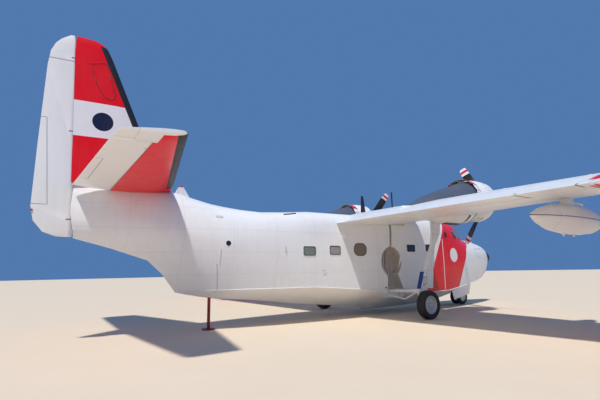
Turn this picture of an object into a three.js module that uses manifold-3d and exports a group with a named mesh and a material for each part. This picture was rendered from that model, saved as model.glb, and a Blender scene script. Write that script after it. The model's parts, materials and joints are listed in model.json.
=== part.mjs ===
// Twin-engined flying boat, parked on its wheels with a post under its tail.
// Millimetres. +X is forward, +Y is the pilot's left, +Z is up, and the ground is z = 0.
import * as THREE from 'three';
import { mergeVertices } from 'three/addons/utils/BufferGeometryUtils.js';
import Module from 'manifold-3d';

const wasm = await Module();
wasm.setup();

// Gaps between pieces
const SEAT = 0.3;            // pieces that rest on each other
const RUN_CLEAR = 9;         // a moving surface beside a fixed one
const END_CLEAR = 25;        // the end of a moving surface, whose hinge line is slightly skew to it

// Overall sizes
const NOSE_X = 9420;
const TAIL_X = -9575;
const RADOME = { base: 9190, front: 9575, z: 2100, radius: 300 };
const HALF_SPAN = 14730;
const FIN_TOP = 7870;

// Hull sections. Columns: x, keel z, chine z, chine half width, side half width,
// z of the greatest width, top z, squareness of the roof.
const HULL_COLUMNS = ['x', 'keel', 'chine', 'chineHalf', 'sideHalf', 'sideZ', 'top', 'square'];
const HULL_SECTIONS = [
  [-8770, 2540, 2710, 66, 126, 3150, 3900, 2.0],
  [-7780, 2270, 2480, 150, 330, 3000, 3930, 2.0],
  [-6840, 1960, 2200, 190, 540, 2800, 3910, 2.1],
  [-6450, 1600, 1960, 160, 640, 2700, 3890, 2.1],
  [-6060, 1080, 1130, 60, 725, 2600, 3850, 2.1],
  [-5400, 940, 1120, 354, 856, 2440, 3683, 2.2],
  [-4800, 850, 1115, 570, 960, 2320, 3568, 2.5],
  [-3600, 745, 1110, 860, 1100, 2180, 3458, 3.4],
  [-2000, 540, 1100, 1080, 1190, 2050, 3555, 4.8],
  [760, 290, 900, 1190, 1220, 1900, 3550, 7.0],
  [1020, 160, 760, 1200, 1220, 1900, 3560, 7.0],
  [3000, 180, 710, 1200, 1220, 1900, 3600, 7.0],
  [4700, 240, 730, 1140, 1180, 1950, 3640, 5.0],
  [5600, 390, 825, 1018, 1092, 2000, 3610, 2.6],
  [6250, 512, 897, 910, 1023, 2000, 3080, 2.3],
  [6700, 610, 950, 818, 955, 2000, 2950, 2.3],
  [7350, 740, 1020, 680, 840, 2000, 2890, 2.3],
  [8150, 960, 1200, 500, 660, 1980, 2790, 2.3],
  [8850, 1260, 1460, 310, 440, 1990, 2660, 2.2],
  [9250, 1560, 1690, 170, 260, 2020, 2470, 2.1],
  [NOSE_X, 1860, 1920, 60, 90, 2060, 2230, 2.0],
];
// Stretches of the hull without a break, whose sections get one more between each pair
const HULL_SMOOTH = [[-6060, -2000], [6250, NOSE_X]];
// Cockpit roof as outlines in plan. Columns: z, front x, half width
const COCKPIT_SECTIONS = [
  [2450, 7080, 840],
  [2900, 7050, 830],
  [3280, 6790, 700],
  [3480, 6570, 550],
  [3600, 6290, 380],
  [3660, 5950, 180],
];
const COCKPIT = { rear: 4900, shoulder: 5500, square: 2.1 };
const BOTTOM_HOLLOW = 0.62;  // height of the bottom at 60 % of the way to the chine
const ROOF_STEPS = 9;
const SIDE_FLARE = 0.55;     // how far the side is already out halfway up to its widest

// Wing planform. Columns: y, leading x, trailing x, thickness ratio.
const WING_SECTIONS = [
  [0, 2850, -1180, 0.160],
  [4400, 2850, -990, 0.155],
  [14050, 1590, -600, 0.130],
  [14500, 1330, -480, 0.110],
  [HALF_SPAN, 850, -200, 0.060],
];
const WING_SPLIT_Y = 4400;
const WING_TRAIL_Z = 3148;
const WING_RISE = 0.002;     // rise of the trailing edge towards the tip
const WING_SET = 0.118;      // nose-up setting of nearly seven degrees
const CAMBER = 0.02;
const CHORD_STEPS = [0, 0.015, 0.07, 0.2, 0.42, 0.7, 1];
const EDGE_HALF = 5;         // half thickness of a trailing edge

// Flight controls on the wing: hinge distance ahead of the trailing edge at y = 0, and its change per mm
const FLAP_CHORD = 830;
const FLAP_TAPER = -0.018;
const FLAP = { cut: 1330, from: 1330, to: 8350, kinks: [4400], brackets: [2100, 7600], lowerLip: 60 };
const AILERON = { cut: 8450, from: 8450, to: 13850, brackets: [9300, 13000] };

// Tail surfaces
const TAILPLANE_HALF = 4725;
const ELEVATOR = { cut: -50, from: 190, to: 4300, brackets: [700, 3900] };
const ELEVATOR_HINGE_X = -7950;
// Columns: y, leading x, trailing x, leading z, trailing z, thickness ratio
const TAILPLANE_SECTIONS = [
  [-60, -6250, -8780, 3935, 3800, 0.12],
  [4300, -7332, -8600, 4020, 3870, 0.11],
  [4640, -7415, -8565, 4030, 3890, 0.11],
  [TAILPLANE_HALF, -7470, -8500, 4030, 3915, 0.07],
];
// Fin. Columns: z, leading x, half thickness at the hinge line
const FIN_SECTIONS = [
  [3880, -6430, 128],
  [4800, -6873, 118],
  [7450, -8025, 74],
  [7690, -8150, 60],
  [7820, -8275, 46],
  [FIN_TOP, -8440, 26],
];
// Rudder. Columns: z, trailing x, half thickness at the hinge line
const RUDDER_SECTIONS = [
  [2540, -9020, 108],
  [2640, -9290, 122],
  [2900, -9500, 128],
  [3250, TAIL_X, 128],
  [4870, -9555, 118],
  [6900, -9510, 84],
  [7300, -9470, 76],
  [7540, -9373, 70],
  [7690, -9258, 60],
  [7850, -9060, 30],
];
const RUDDER_HINGE = { x0: -8780, z0: 2530, slope: -0.039 };
const FIN_BRACKETS = [5200, 7200];
const TAIL_BRACKETS = [2950];

// Engines and propellers
const ENGINE_Y = 3060;
const ENGINE_Z = 4000;
const COWL_FRONT_X = 4300;
const COWL_REAR_X = 3290;
const COWL_R = 752;
const PROP_X = 4620;
const PROP_R = 1710;
const BLADES = 3;
const PROP_TURN = { left: 47, right: -28 };
// Nacelle sections. Columns: x, half width, bottom z, top z
const NACELLE_SECTIONS = [
  [-100, 60, 3420, 3520],
  [450, 260, 3330, 3690],
  [1000, 430, 3190, 3940],
  [1900, 600, 3090, 4250],
  [2700, 680, 3070, 4500],
  [3150, 700, 3160, 4640],
  [COWL_REAR_X - SEAT, 670, 3330, 4670],
];

// Running gear
const MAIN_WHEEL = { x: 1320, y: 2720, radius: 455, width: 300, rim: 285 };
const NOSE_WHEEL = { x: 7000, y: 155, radius: 330, width: 165, rim: 190 };
const NOSE_PIVOT_X = 7000;
const AXLE_R = 38;
const LEG_TOP = [2210, 2440, 2600];
const LEG_KNEE = [1250, 2440, 890];
const LEG_FOOT = [MAIN_WHEEL.x, 2420, MAIN_WHEEL.radius];
// Casting that carries the leg under the wing. Columns: x, z
const LEG_HEAD = [[2120, 2520], [2240, 3040], [2290, 3500], [2630, 3500], [2605, 3050], [2540, 2800], [2310, 2480]];
const LEG_HEAD_SIDES = [2350, 2468];
const LEG_STAY_TOP = [2115, 2440, 3500];
// Plate along the front of the leg. Columns: x, z
const LEG_PLATE = [
  [1650, 961], [2022, 947], [2098, 1483], [2100, 1583], [2203, 1792], [2198, 2069], [2266, 2299], [2340, 2500],
  [2160, 2510], [1560, 1440],
];
const LEG_PLATE_SIDES = [2396, 2420];
const ARM_ROOTS = [[1190, 900, 850], [2060, 1190, 850]];
const BRACE_ROOT = [1190, 900, 760];
const BRACE_BEND = [1220, 1850, 600];

// Wells in the hull
const WHEEL_WELL = { x: 1360, z: 1880, radius: 535, depth: 330 };
const NOSE_WELL = { x0: 5950, x1: 7330, half: 460, top: 1500 };

// Underwing stores and floats
const TANK = { x: 1520, y: 7000, z: 2745, halfLength: 1950, radius: 375 };
const TANK_PYLON = { x0: 1150, x1: 1950, half: 55 };
const FLOAT_Y = 10600;
const FLOAT_STRUT = { x0: 700, x1: 1950, half: 75 };
// Float sections. Columns: x, keel z, chine z, chine half width, deck half width, deck z
const FLOAT_SECTIONS = [
  [-900, 2520, 2560, 40, 50, 2760],
  [-300, 2260, 2400, 210, 250, 2850],
  [790, 2060, 2250, 370, 400, 2890],
  [860, 1990, 2200, 380, 400, 2890],
  [2000, 2010, 2220, 370, 390, 2890],
  [2900, 2180, 2360, 240, 270, 2850],
  [3350, 2480, 2560, 70, 90, 2740],
];

// Cabin door on the left side, with the small lobby behind it
const DOOR = { x0: -4300, x1: -3450, z0: 1450, z1: 2700, depth: 1000, thick: 70 };
const DOOR_AXIS = { x: -3450, y: 1158, eye: 20, lug: 60, reach: 140, stations: [1750, 2400] };

// Tail support post
const POST = { x: -5060, radius: 45, foot: 190, footHeight: 30 };

// Paint and metal, as the photograph shows them
const PAINTS = {
  white: { color: 0xf0f0ee, roughness: 0.35, metalness: 0 },
  under: { color: 0xd8cdbb, roughness: 0.4, metalness: 0 },
  red: { color: 0xc4121f, roughness: 0.35, metalness: 0 },
  slate: { color: 0x3f4a5c, roughness: 0.55, metalness: 0.1 },
  black: { color: 0x151515, roughness: 0.6, metalness: 0 },
  glass: { color: 0x2a343a, roughness: 0.08, metalness: 0 },
  steel: { color: 0x8d8f90, roughness: 0.4, metalness: 0.8 },
  rubber: { color: 0x181818, roughness: 0.85, metalness: 0 },
  post: { color: 0x8e1c20, roughness: 0.6, metalness: 0 },
};

// A closed geometry becomes a solid once its shared corners are merged.
function solidOf(geometry) {
  const bare = geometry.clone();
  bare.deleteAttribute('normal');
  bare.deleteAttribute('uv');
  const merged = mergeVertices(bare, 1e-3);
  const index = merged.index.array;
  const triangles = [];
  for (let i = 0; i < index.length; i += 3) {
    const [a, b, c] = [index[i], index[i + 1], index[i + 2]];
    if (a !== b && b !== c && c !== a) triangles.push(a, b, c);
  }
  return new wasm.Manifold(new wasm.Mesh({
    numProp: 3,
    vertProperties: new Float32Array(merged.attributes.position.array),
    triVerts: new Uint32Array(triangles),
  }));
}

function geometryOf(solid) {
  const mesh = solid.getMesh();
  const geometry = new THREE.BufferGeometry();
  geometry.setAttribute('position', new THREE.BufferAttribute(new Float32Array(mesh.vertProperties), 3));
  geometry.setIndex(new THREE.BufferAttribute(new Uint32Array(mesh.triVerts), 1));
  geometry.computeVertexNormals();
  return geometry;
}

function enclosedVolume(positions, index) {
  let volume = 0;
  const [a, b, c] = [new THREE.Vector3(), new THREE.Vector3(), new THREE.Vector3()];
  for (let i = 0; i < index.length; i += 3) {
    a.fromArray(positions, 3 * index[i]);
    b.fromArray(positions, 3 * index[i + 1]);
    c.fromArray(positions, 3 * index[i + 2]);
    volume += a.dot(b.cross(c)) / 6;
  }
  return volume;
}

// Skin over rings of equal length, closed at both ends. `flat` names the two axes that the end caps spread in.
function skin(rings, flat) {
  const count = rings[0].length;
  const last = (rings.length - 1) * count;
  const positions = rings.flat().flatMap((point) => point.toArray());
  let index = [];
  for (let start = 0; start < last; start += count) {
    for (let i = 0; i < count; i += 1) {
      const [a, b] = [start + i, start + ((i + 1) % count)];
      index.push(a, b, b + count, a, b + count, a + count);
    }
  }
  for (const [ring, start] of [[rings[0], 0], [rings.at(-1), last]]) {
    const outline = ring.map((point) => new THREE.Vector2(point[flat[0]], point[flat[1]]));
    const faces = THREE.ShapeUtils.triangulateShape(outline, []).flat().map((i) => i + start);
    const alongRing = !THREE.ShapeUtils.isClockWise(outline);
    index = index.concat(alongRing === (start === last) ? faces : flipped(faces));
  }
  if (enclosedVolume(positions, index) < 0) index = flipped(index);
  const geometry = new THREE.BufferGeometry();
  geometry.setAttribute('position', new THREE.Float32BufferAttribute(positions, 3));
  geometry.setIndex(index);
  return solidOf(geometry);
}

function flipped(index) {
  const result = [];
  for (let i = 0; i < index.length; i += 3) result.push(index[i], index[i + 2], index[i + 1]);
  return result;
}

// Straight prism between two values of one axis, over an outline in the other two.
function prism(outline, axis, from, to) {
  const flat = ['x', 'y', 'z'].filter((name) => name !== axis);
  const ring = (value) => outline.map(([u, v]) => {
    const point = new THREE.Vector3();
    point[flat[0]] = u;
    point[flat[1]] = v;
    point[axis] = value;
    return point;
  });
  return skin([ring(from), ring(to)], flat);
}

function block(x0, x1, y0, y1, z0, z1) {
  const geometry = new THREE.BoxGeometry(x1 - x0, y1 - y0, z1 - z0);
  geometry.translate((x0 + x1) / 2, (y0 + y1) / 2, (z0 + z1) / 2);
  return solidOf(geometry);
}

// Straight rod between two points, of one radius or tapering to a second.
function rod(from, to, radius, sides = 12, endRadius = radius) {
  const start = new THREE.Vector3(...from);
  const way = new THREE.Vector3(...to).sub(start);
  const geometry = new THREE.CylinderGeometry(endRadius, radius, way.length(), sides);
  geometry.translate(0, way.length() / 2, 0);
  geometry.applyQuaternion(new THREE.Quaternion().setFromUnitVectors(
    new THREE.Vector3(0, 1, 0), way.clone().normalize()));
  geometry.translate(start.x, start.y, start.z);
  return solidOf(geometry);
}

// Body turned about a line through `centre`: the profile lists [radius, distance along the axis].
function turned(profile, centre, axis, sides = 28) {
  const points = profile.map(([radius, along]) => new THREE.Vector2(radius, along));
  const geometry = new THREE.LatheGeometry(points, sides);
  geometry.applyQuaternion(new THREE.Quaternion().setFromUnitVectors(
    new THREE.Vector3(0, 1, 0), new THREE.Vector3(...axis)));
  geometry.translate(...centre);
  const { array } = geometry.attributes.position;
  if (enclosedVolume(array, geometry.index.array) < 0) geometry.setIndex(flipped([...geometry.index.array]));
  return solidOf(geometry);
}

// A bore that a pin of as many sides turns in freely: its flats clear the pin's corners.
function boreFor(radius, sides) {
  return radius / Math.cos(Math.PI / sides) + SEAT;
}

function joined(solids) {
  return solids.reduce((sum, solid) => sum.add(solid));
}

function mirroredGeometry(geometry) {
  const copy = geometry.clone();
  copy.scale(1, -1, 1);
  copy.setIndex(flipped(Array.from(copy.index.array)));
  copy.computeVertexNormals();
  return copy;
}

const model = new THREE.Group();

function place(name, solid, paint) {
  const mesh = new THREE.Mesh(geometryOf(solid), new THREE.MeshStandardMaterial(PAINTS[paint]));
  mesh.name = name;
  model.add(mesh);
}

function mirrored(solid) {
  return solidOf(mirroredGeometry(geometryOf(solid)));
}

// The left piece, and its mirror image on the right.
function placePair(name, solid, paint) {
  place(`${name}_left`, solid, paint);
  const mesh = new THREE.Mesh(mirroredGeometry(geometryOf(solid)), new THREE.MeshStandardMaterial(PAINTS[paint]));
  mesh.name = `${name}_right`;
  model.add(mesh);
}

const lerp = THREE.MathUtils.lerp;
const radians = THREE.MathUtils.degToRad;

// Values between the rows of a table whose first column is the station.
function between(table, station) {
  let row = 0;
  while (row + 2 < table.length && table[row + 1][0] < station) row += 1;
  const [low, high] = [table[row], table[row + 1]];
  const share = (station - low[0]) / (high[0] - low[0]);
  return low.map((value, i) => lerp(value, high[i], share));
}

// Half the hull's outline from the keel up to the roof, as [half width, z].
function hullHalfOutline(row) {
  const section = Object.fromEntries(HULL_COLUMNS.map((name, i) => [name, row[i]]));
  const half = [
    [0, section.keel],
    [0.6 * section.chineHalf, lerp(section.keel, section.chine, BOTTOM_HOLLOW)],
    [section.chineHalf, section.chine],
    [lerp(section.chineHalf, section.sideHalf, SIDE_FLARE), lerp(section.chine, section.sideZ, 0.4)],
  ];
  for (let i = 0; i < ROOF_STEPS; i += 1) {
    const angle = (Math.PI / 2) * (i / ROOF_STEPS);
    const out = Math.cos(angle) ** (2 / section.square);
    const up = Math.sin(angle) ** (2 / section.square);
    half.push([section.sideHalf * out, section.sideZ + (section.top - section.sideZ) * up]);
  }
  half.push([0, section.top]);
  return half;
}

// Sections with one more between each pair inside the given stretches, on a smooth curve through them
function refined(rows, stretches) {
  const beyond = (end, next) => end.map((value, i) => 2 * value - next[i]);
  return rows.flatMap((row, n) => {
    const stretch = stretches.find(([from, to]) => row[0] >= from && row[0] < to);
    if (!stretch) return [row];
    const next = rows[n + 1];
    const before = row[0] > stretch[0] ? rows[n - 1] : beyond(row, next);
    const after = next[0] < stretch[1] ? rows[n + 2] : beyond(next, row);
    return [row, row.map((value, i) => (9 * (value + next[i]) - before[i] - after[i]) / 16)];
  });
}

// The left half of the hull through all its sections, joined to its own mirror image
function hullThrough(rows) {
  const rings = rows.map((row) => hullHalfOutline(row).map(([y, z]) => new THREE.Vector3(row[0], y, z)));
  const half = skin(rings, ['y', 'z']);
  return half.add(mirrored(half));
}

// Thickness and camber of a wing-like section at a share of its chord.
function halfThickness(share, ratio) {
  const s = Math.max(share, 0);
  return 5 * ratio * (0.2969 * Math.sqrt(s) - 0.126 * s - 0.3516 * s ** 2 + 0.2843 * s ** 3 - 0.1036 * s ** 4);
}

function camberAt(share, camber) {
  const peak = 0.3;
  if (share < peak) return (camber / peak ** 2) * (2 * peak * share - share ** 2);
  return (camber / (1 - peak) ** 2) * (1 - 2 * peak + 2 * peak * share - share ** 2);
}

// A flying surface's section: its middle height and half thickness at any x.
function foil({ span, lead, trail, leadZ, trailZ, ratio, camber }) {
  const chord = lead - trail;
  const at = (x) => {
    const share = THREE.MathUtils.clamp((lead - x) / chord, 0, 1);
    return {
      mid: lerp(leadZ, trailZ, share) + chord * camberAt(share, camber),
      half: chord * halfThickness(share, ratio) + EDGE_HALF * share,
    };
  };
  return { span, lead, trail, chord, at };
}

function foilRing(section, extra = 0) {
  const upper = [];
  const lower = [];
  for (const share of CHORD_STEPS) {
    const x = section.lead - share * section.chord;
    const { mid, half } = section.at(x);
    const shift = share === 0 ? extra : share === 1 ? -extra : 0;
    upper.push(new THREE.Vector3(x + shift, section.span, mid + half + extra));
    if (share > 0) lower.push(new THREE.Vector3(x + shift, section.span, mid - half - extra));
  }
  return [...upper, ...lower.reverse()];
}

// Round nose of a moving surface about its hinge, and its flat tail.
function moverRing(section, hinge, steps = 6) {
  const ring = [];
  for (let i = 0; i <= steps; i += 1) {
    const angle = Math.PI / 2 - (Math.PI * i) / steps;
    ring.push(new THREE.Vector3(
      hinge.x + hinge.radius * Math.cos(angle), section.span, hinge.z + hinge.radius * Math.sin(angle)));
  }
  const middleX = lerp(hinge.x, section.trail, 0.5);
  const middle = section.at(middleX);
  const tail = section.at(section.trail);
  ring.push(new THREE.Vector3(middleX, section.span, middle.mid - middle.half));
  ring.push(new THREE.Vector3(section.trail, section.span, tail.mid - tail.half));
  ring.push(new THREE.Vector3(section.trail, section.span, tail.mid + tail.half));
  ring.push(new THREE.Vector3(middleX, section.span, middle.mid + middle.half));
  return ring;
}

// The room that a moving surface needs: a round cove about the hinge and all behind it.
// The lower lip stands further forward where the surface swings far down.
function coveRing(section, hinge, lowerLip, steps = 6) {
  const reach = 700;
  const radius = hinge.radius + RUN_CLEAR;
  const upper = Math.PI / 2 - Math.acos(hinge.radius / radius);
  const lower = Math.min(upper, radians(lowerLip));
  const ring = [];
  for (let i = 0; i <= steps; i += 1) {
    const angle = lerp(upper, -lower, i / steps);
    ring.push(new THREE.Vector3(
      hinge.x + radius * Math.cos(angle), section.span, hinge.z + radius * Math.sin(angle)));
  }
  ring.push(new THREE.Vector3(ring.at(-1).x, section.span, hinge.z - reach));
  ring.push(new THREE.Vector3(section.trail - reach, section.span, hinge.z - reach));
  ring.push(new THREE.Vector3(section.trail - reach, section.span, hinge.z + reach));
  ring.push(new THREE.Vector3(ring[0].x, section.span, hinge.z + reach));
  return ring;
}

function wingSection(y) {
  const [, lead, trail, ratio] = between(WING_SECTIONS, y);
  const trailZ = WING_TRAIL_Z + WING_RISE * y;
  const leadZ = trailZ + WING_SET * (lead - trail);
  return foil({ span: y, lead, trail, leadZ, trailZ, ratio, camber: CAMBER });
}

function wingHinge(y) {
  const section = wingSection(y);
  const x = section.trail + FLAP_CHORD + FLAP_TAPER * y;
  const { mid, half } = section.at(x);
  return { x, z: mid, radius: half, y };
}

function tailplaneSection(y) {
  const [, lead, trail, leadZ, trailZ, ratio] = between(TAILPLANE_SECTIONS, y);
  return foil({ span: y, lead, trail, leadZ, trailZ, ratio, camber: 0 });
}

function elevatorHinge(y) {
  const { mid, half } = tailplaneSection(y).at(ELEVATOR_HINGE_X);
  return { x: ELEVATOR_HINGE_X, z: mid, radius: half, y };
}

// A hinge line is straight, so points between its ends lie on the line that joins them.
function straightHinge(hingeAt, y0, y1) {
  const [start, end] = [hingeAt(y0), hingeAt(y1)];
  return (y) => {
    const share = (y - y0) / (y1 - y0);
    return {
      x: lerp(start.x, end.x, share),
      z: lerp(start.z, end.z, share),
      radius: Math.min(hingeAt(y).radius, lerp(start.radius, end.radius, share) + 20),
      y,
    };
  };
}

// Hinge brackets: a plate from the fixed part with a pin that turns in the moving part.
const HINGE_PLATE = 18;
const HINGE_PIN_R = 9;
const HINGE_PIN_LENGTH = 70;

function hingeSet(fixed, mover, hingeLine, stations, direction, forward) {
  const along = new THREE.Vector3(...direction);
  const ahead = new THREE.Vector3(...forward);
  const across = ahead.clone().cross(along).normalize();
  for (const station of stations) {
    const hinge = hingeLine(station);
    const centre = hinge.centre;
    const eye = Math.min(0.5 * hinge.radius, 34);
    const notchHalf = HINGE_PLATE / 2 + RUN_CLEAR;
    const frame = new THREE.Matrix4().makeBasis(ahead, along, across);
    frame.setPosition(centre);
    const local = (solid) => solid.transform(frame.toArray());
    const plate = block(0, hinge.radius + RUN_CLEAR + 30, -HINGE_PLATE / 2, HINGE_PLATE / 2, -eye, eye);
    const knuckle = rod([0, -HINGE_PLATE / 2, 0], [0, HINGE_PLATE / 2, 0], eye, 8);
    const pin = rod([0, -HINGE_PIN_LENGTH / 2, 0], [0, HINGE_PIN_LENGTH / 2, 0], HINGE_PIN_R, 8);
    const boreLength = HINGE_PIN_LENGTH / 2 + 4;
    const bore = rod([0, -boreLength, 0], [0, boreLength, 0], boreFor(HINGE_PIN_R, 8), 8);
    const notchBack = -(eye + RUN_CLEAR);
    const notch = block(notchBack, hinge.radius + 50, -notchHalf, notchHalf, -hinge.radius - 40, hinge.radius + 40);
    fixed = joined([fixed, local(joined([plate, knuckle, pin]))]);
    mover = mover.subtract(local(notch)).subtract(local(bore));
  }
  return [fixed, mover];
}

function directionBetween(start, end) {
  return new THREE.Vector3(end.x - start.x, end.y - start.y, end.z - start.z).normalize();
}

// A surface with a hinged rear part: cuts the cove in `fixed` and returns both with their brackets.
function hingedSurface(fixed, sectionAt, hingeAt, { cut, from, to, kinks = [], brackets, lowerLip = 90 }) {
  const line = straightHinge(hingeAt, from, to);
  const coves = [cut, ...kinks, to].map((y) => coveRing(sectionAt(y), line(y), lowerLip));
  const movers = [from + END_CLEAR, ...kinks, to - END_CLEAR].map((y) => moverRing(sectionAt(y), line(y)));
  const along = directionBetween(line(from), line(to));
  const forward = new THREE.Vector3(1, 0, 0).addScaledVector(along, -along.x).normalize();
  const lineCentre = (y) => ({ ...line(y), centre: new THREE.Vector3(line(y).x, y, line(y).z) });
  return hingeSet(fixed.subtract(skin(coves, ['x', 'z'])), skin(movers, ['x', 'z']), lineCentre, brackets,
    along.toArray(), forward.toArray());
}

// Wing
function wingBody(extra = 0) {
  return skin(WING_SECTIONS.map(([y]) => foilRing(wingSection(y), extra)), ['x', 'z']);
}

function wingPieces() {
  const [withFlap, flap] = hingedSurface(
    wingBody(), wingSection, wingHinge, FLAP);
  const [whole, aileron] = hingedSurface(
    withFlap, wingSection, wingHinge, AILERON);
  const outer = whole.intersect(block(-3000, 4000, WING_SPLIT_Y + SEAT, HALF_SPAN + 100, 2000, 5000));
  const half = whole.intersect(block(-3000, 4000, -1, WING_SPLIT_Y, 2000, 5000));
  return { centre: half.add(mirrored(half)), outer, flap, aileron };
}

// What wing and hull pieces beside the wing are cut with, one seat gap larger than the wing
const wingRoom = wingBody(SEAT).add(mirrored(wingBody(SEAT)));
const wing = wingPieces();

// Hull, with its wells, lobby and window seats
function mainWheelWell() {
  const inner = 1220 - WHEEL_WELL.depth;
  const round = rod([WHEEL_WELL.x, inner, WHEEL_WELL.z], [WHEEL_WELL.x, 1400, WHEEL_WELL.z], WHEEL_WELL.radius, 24);
  const below = prism([[1140, WHEEL_WELL.z - 350], [1640, WHEEL_WELL.z - 350], [2130, 500], [1090, 500]],
    'y', inner, 1400);
  const above = prism([[1290, WHEEL_WELL.z + 400], [1400, WHEEL_WELL.z + 400], [1500, 3500], [1390, 3500]],
    'y', inner + 130, 1400);
  return joined([round, below, above]);
}

// Cockpit roof: round in front, straight beside the seats, and buried in the hull at its rear and foot
function cockpitRoof(steps = 8) {
  const rings = COCKPIT_SECTIONS.map(([z, front, half]) => {
    const side = [new THREE.Vector3(COCKPIT.rear, half, z)];
    for (let i = 0; i < steps; i += 1) {
      const angle = (Math.PI / 2) * (i / steps);
      const ahead = Math.sin(angle) ** (2 / COCKPIT.square);
      const out = Math.cos(angle) ** (2 / COCKPIT.square);
      side.push(new THREE.Vector3(lerp(COCKPIT.shoulder, front, ahead), half * out, z));
    }
    const tip = new THREE.Vector3(front, 0, z);
    const other = side.map((point) => new THREE.Vector3(point.x, -point.y, z)).reverse();
    return [...side, tip, ...other];
  });
  return skin(rings, ['x', 'y']);
}

const hullRows = refined(HULL_SECTIONS, HULL_SMOOTH);
const hullWhole = hullThrough(hullRows).add(cockpitRoof());
const lobby = block(DOOR.x0, DOOR.x1, 1200 - DOOR.depth, 1500, DOOR.z0, DOOR.z1);
const noseWell = block(NOSE_WELL.x0, NOSE_WELL.x1, -NOSE_WELL.half, NOSE_WELL.half, 0, NOSE_WELL.top);

// The cockpit's glazing is the slice of the nose between two heights, ahead of a slanted rear edge
const GLASS_BAND = { rearLow: 5860, rearHigh: 5820, front: 7800, low: 2900, high: 3400 };

function shrunkHull(depth) {
  const rows = hullRows.map((row) => {
    const section = Object.fromEntries(HULL_COLUMNS.map((name, i) => [name, row[i]]));
    return HULL_COLUMNS.map((name) => {
      if (name === 'x') return section.x - depth;
      if (name === 'top') return section.top - depth;
      if (name === 'sideHalf') return Math.max(section.sideHalf - depth, 20);
      if (name === 'chineHalf') return Math.max(section.chineHalf - depth, 15);
      return section[name];
    });
  });
  return hullThrough(rows);
}

function glassBand(inset) {
  const { rearLow, rearHigh, front, low, high } = GLASS_BAND;
  return prism([
    [rearLow + inset, low + inset],
    [front, low + inset],
    [front, high - inset],
    [rearHigh + inset, high - inset],
  ], 'y', -1400, 1400);
}

// Nacelles, cowls and engines on the left; the right side mirrors them
function ellipseRing([x, half, bottom, top], steps = 24) {
  const ring = [];
  for (let i = 0; i < steps; i += 1) {
    const angle = (2 * Math.PI * i) / steps;
    ring.push(new THREE.Vector3(
      x, ENGINE_Y + half * Math.sin(angle), (top + bottom) / 2 + ((top - bottom) / 2) * Math.cos(angle)));
  }
  return ring;
}

function nacelle() {
  return skin(NACELLE_SECTIONS.map((row) => ellipseRing(row)), ['y', 'z']).subtract(wingRoom);
}

const COWL_WALL = 45;

function cowl() {
  const length = COWL_FRONT_X - COWL_REAR_X;
  const outer = [[0.9, 0], [0.98, 0.25], [1, 0.5], [0.955, 0.82], [0.85, 0.96], [0.76, 1]];
  const profile = outer.map(([r, along]) => [COWL_R * r, along * length]);
  const lip = COWL_R * 0.70;
  const inner = [[lip, length * 0.97], [COWL_R * 0.9, length * 0.75], [COWL_R * 0.9 - COWL_WALL, 0],
    [COWL_R * 0.9, 0]];
  return turned([...profile, ...inner], [COWL_REAR_X, ENGINE_Y, ENGINE_Z], [1, 0, 0], 24);
}

const SHAFT_R = 45;
const SHOULDER_R = 90;
const HUB_BACK = 145;
const HUB_BORE_END = 120;
const CYLINDERS = 9;

function engine() {
  const back = COWL_REAR_X;
  const shoulder = PROP_X - HUB_BACK - SEAT - back;
  const shaftEnd = PROP_X + HUB_BORE_END - 10 - back;
  const caseProfile = [[0, 0], [330, 0], [330, 560], [250, 640], [210, 900], [150, 1120], [SHOULDER_R, 1120],
    [SHOULDER_R, shoulder], [SHAFT_R, shoulder], [SHAFT_R, shaftEnd], [0, shaftEnd]];
  const body = turned(caseProfile, [back, ENGINE_Y, ENGINE_Z], [1, 0, 0], 12);
  const barrels = [];
  for (let i = 0; i < CYLINDERS; i += 1) {
    const angle = (2 * Math.PI * i) / CYLINDERS;
    const out = (radius) => [back + 340, ENGINE_Y + radius * Math.sin(angle), ENGINE_Z + radius * Math.cos(angle)];
    barrels.push(rod(out(280), out(605), 95, 6));
  }
  return joined([body, ...barrels]);
}

function propHub() {
  const back = -HUB_BACK;
  const bore = boreFor(SHAFT_R, 12);
  const profile = [[bore, back], [120, back], [150, -70], [150, 70], [110, 110], [95, 190], [60, 235], [0, 245],
    [0, HUB_BORE_END], [bore, HUB_BORE_END], [bore, back]];
  return turned(profile, [0, 0, 0], [1, 0, 0], 14);
}

// Blade sections. Columns: share of the radius, chord, thickness, angle of the blade to its disc
const BLADE_SECTIONS = [
  [0.15, 140, 100, 56],
  [0.38, 310, 46, 38],
  [0.75, 320, 26, 26],
  [0.96, 270, 16, 20],
  [1.00, 190, 10, 18],
];

function bladeRing([share, chord, thick, pitch]) {
  const turn = radians(pitch);
  const shape = [[0.5, 0], [0.15, 0.5], [-0.5, 0], [0.15, -0.3]];
  return shape.map(([u, v]) => {
    const [across, through] = [u * chord, v * thick];
    return new THREE.Vector3(
      across * Math.sin(turn) + through * Math.cos(turn),
      through * Math.sin(turn) - across * Math.cos(turn),
      share * PROP_R);
  });
}

function propeller() {
  const blade = skin(BLADE_SECTIONS.map(bladeRing), ['x', 'y']);
  const root = rod([0, 0, 100], [0, 0, 0.18 * PROP_R], 62, 10);
  const one = geometryOf(joined([blade, root]));
  let whole = propHub();
  for (let i = 0; i < BLADES; i += 1) {
    const copy = one.clone();
    copy.rotateX((2 * Math.PI * i) / BLADES);
    whole = whole.add(solidOf(copy));
  }
  return whole.subtract(rod([-200, 0, 0], [HUB_BORE_END, 0, 0], boreFor(SHAFT_R, 12), 12));
}

function placePropeller(side, sign) {
  const geometry = geometryOf(propeller());
  geometry.rotateX(radians(PROP_TURN[side]));
  const mesh = new THREE.Mesh(geometry, new THREE.MeshStandardMaterial(PAINTS.black));
  mesh.name = `propeller_${side}`;
  mesh.position.set(PROP_X, sign * ENGINE_Y, ENGINE_Z);
  model.add(mesh);
}

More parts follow.
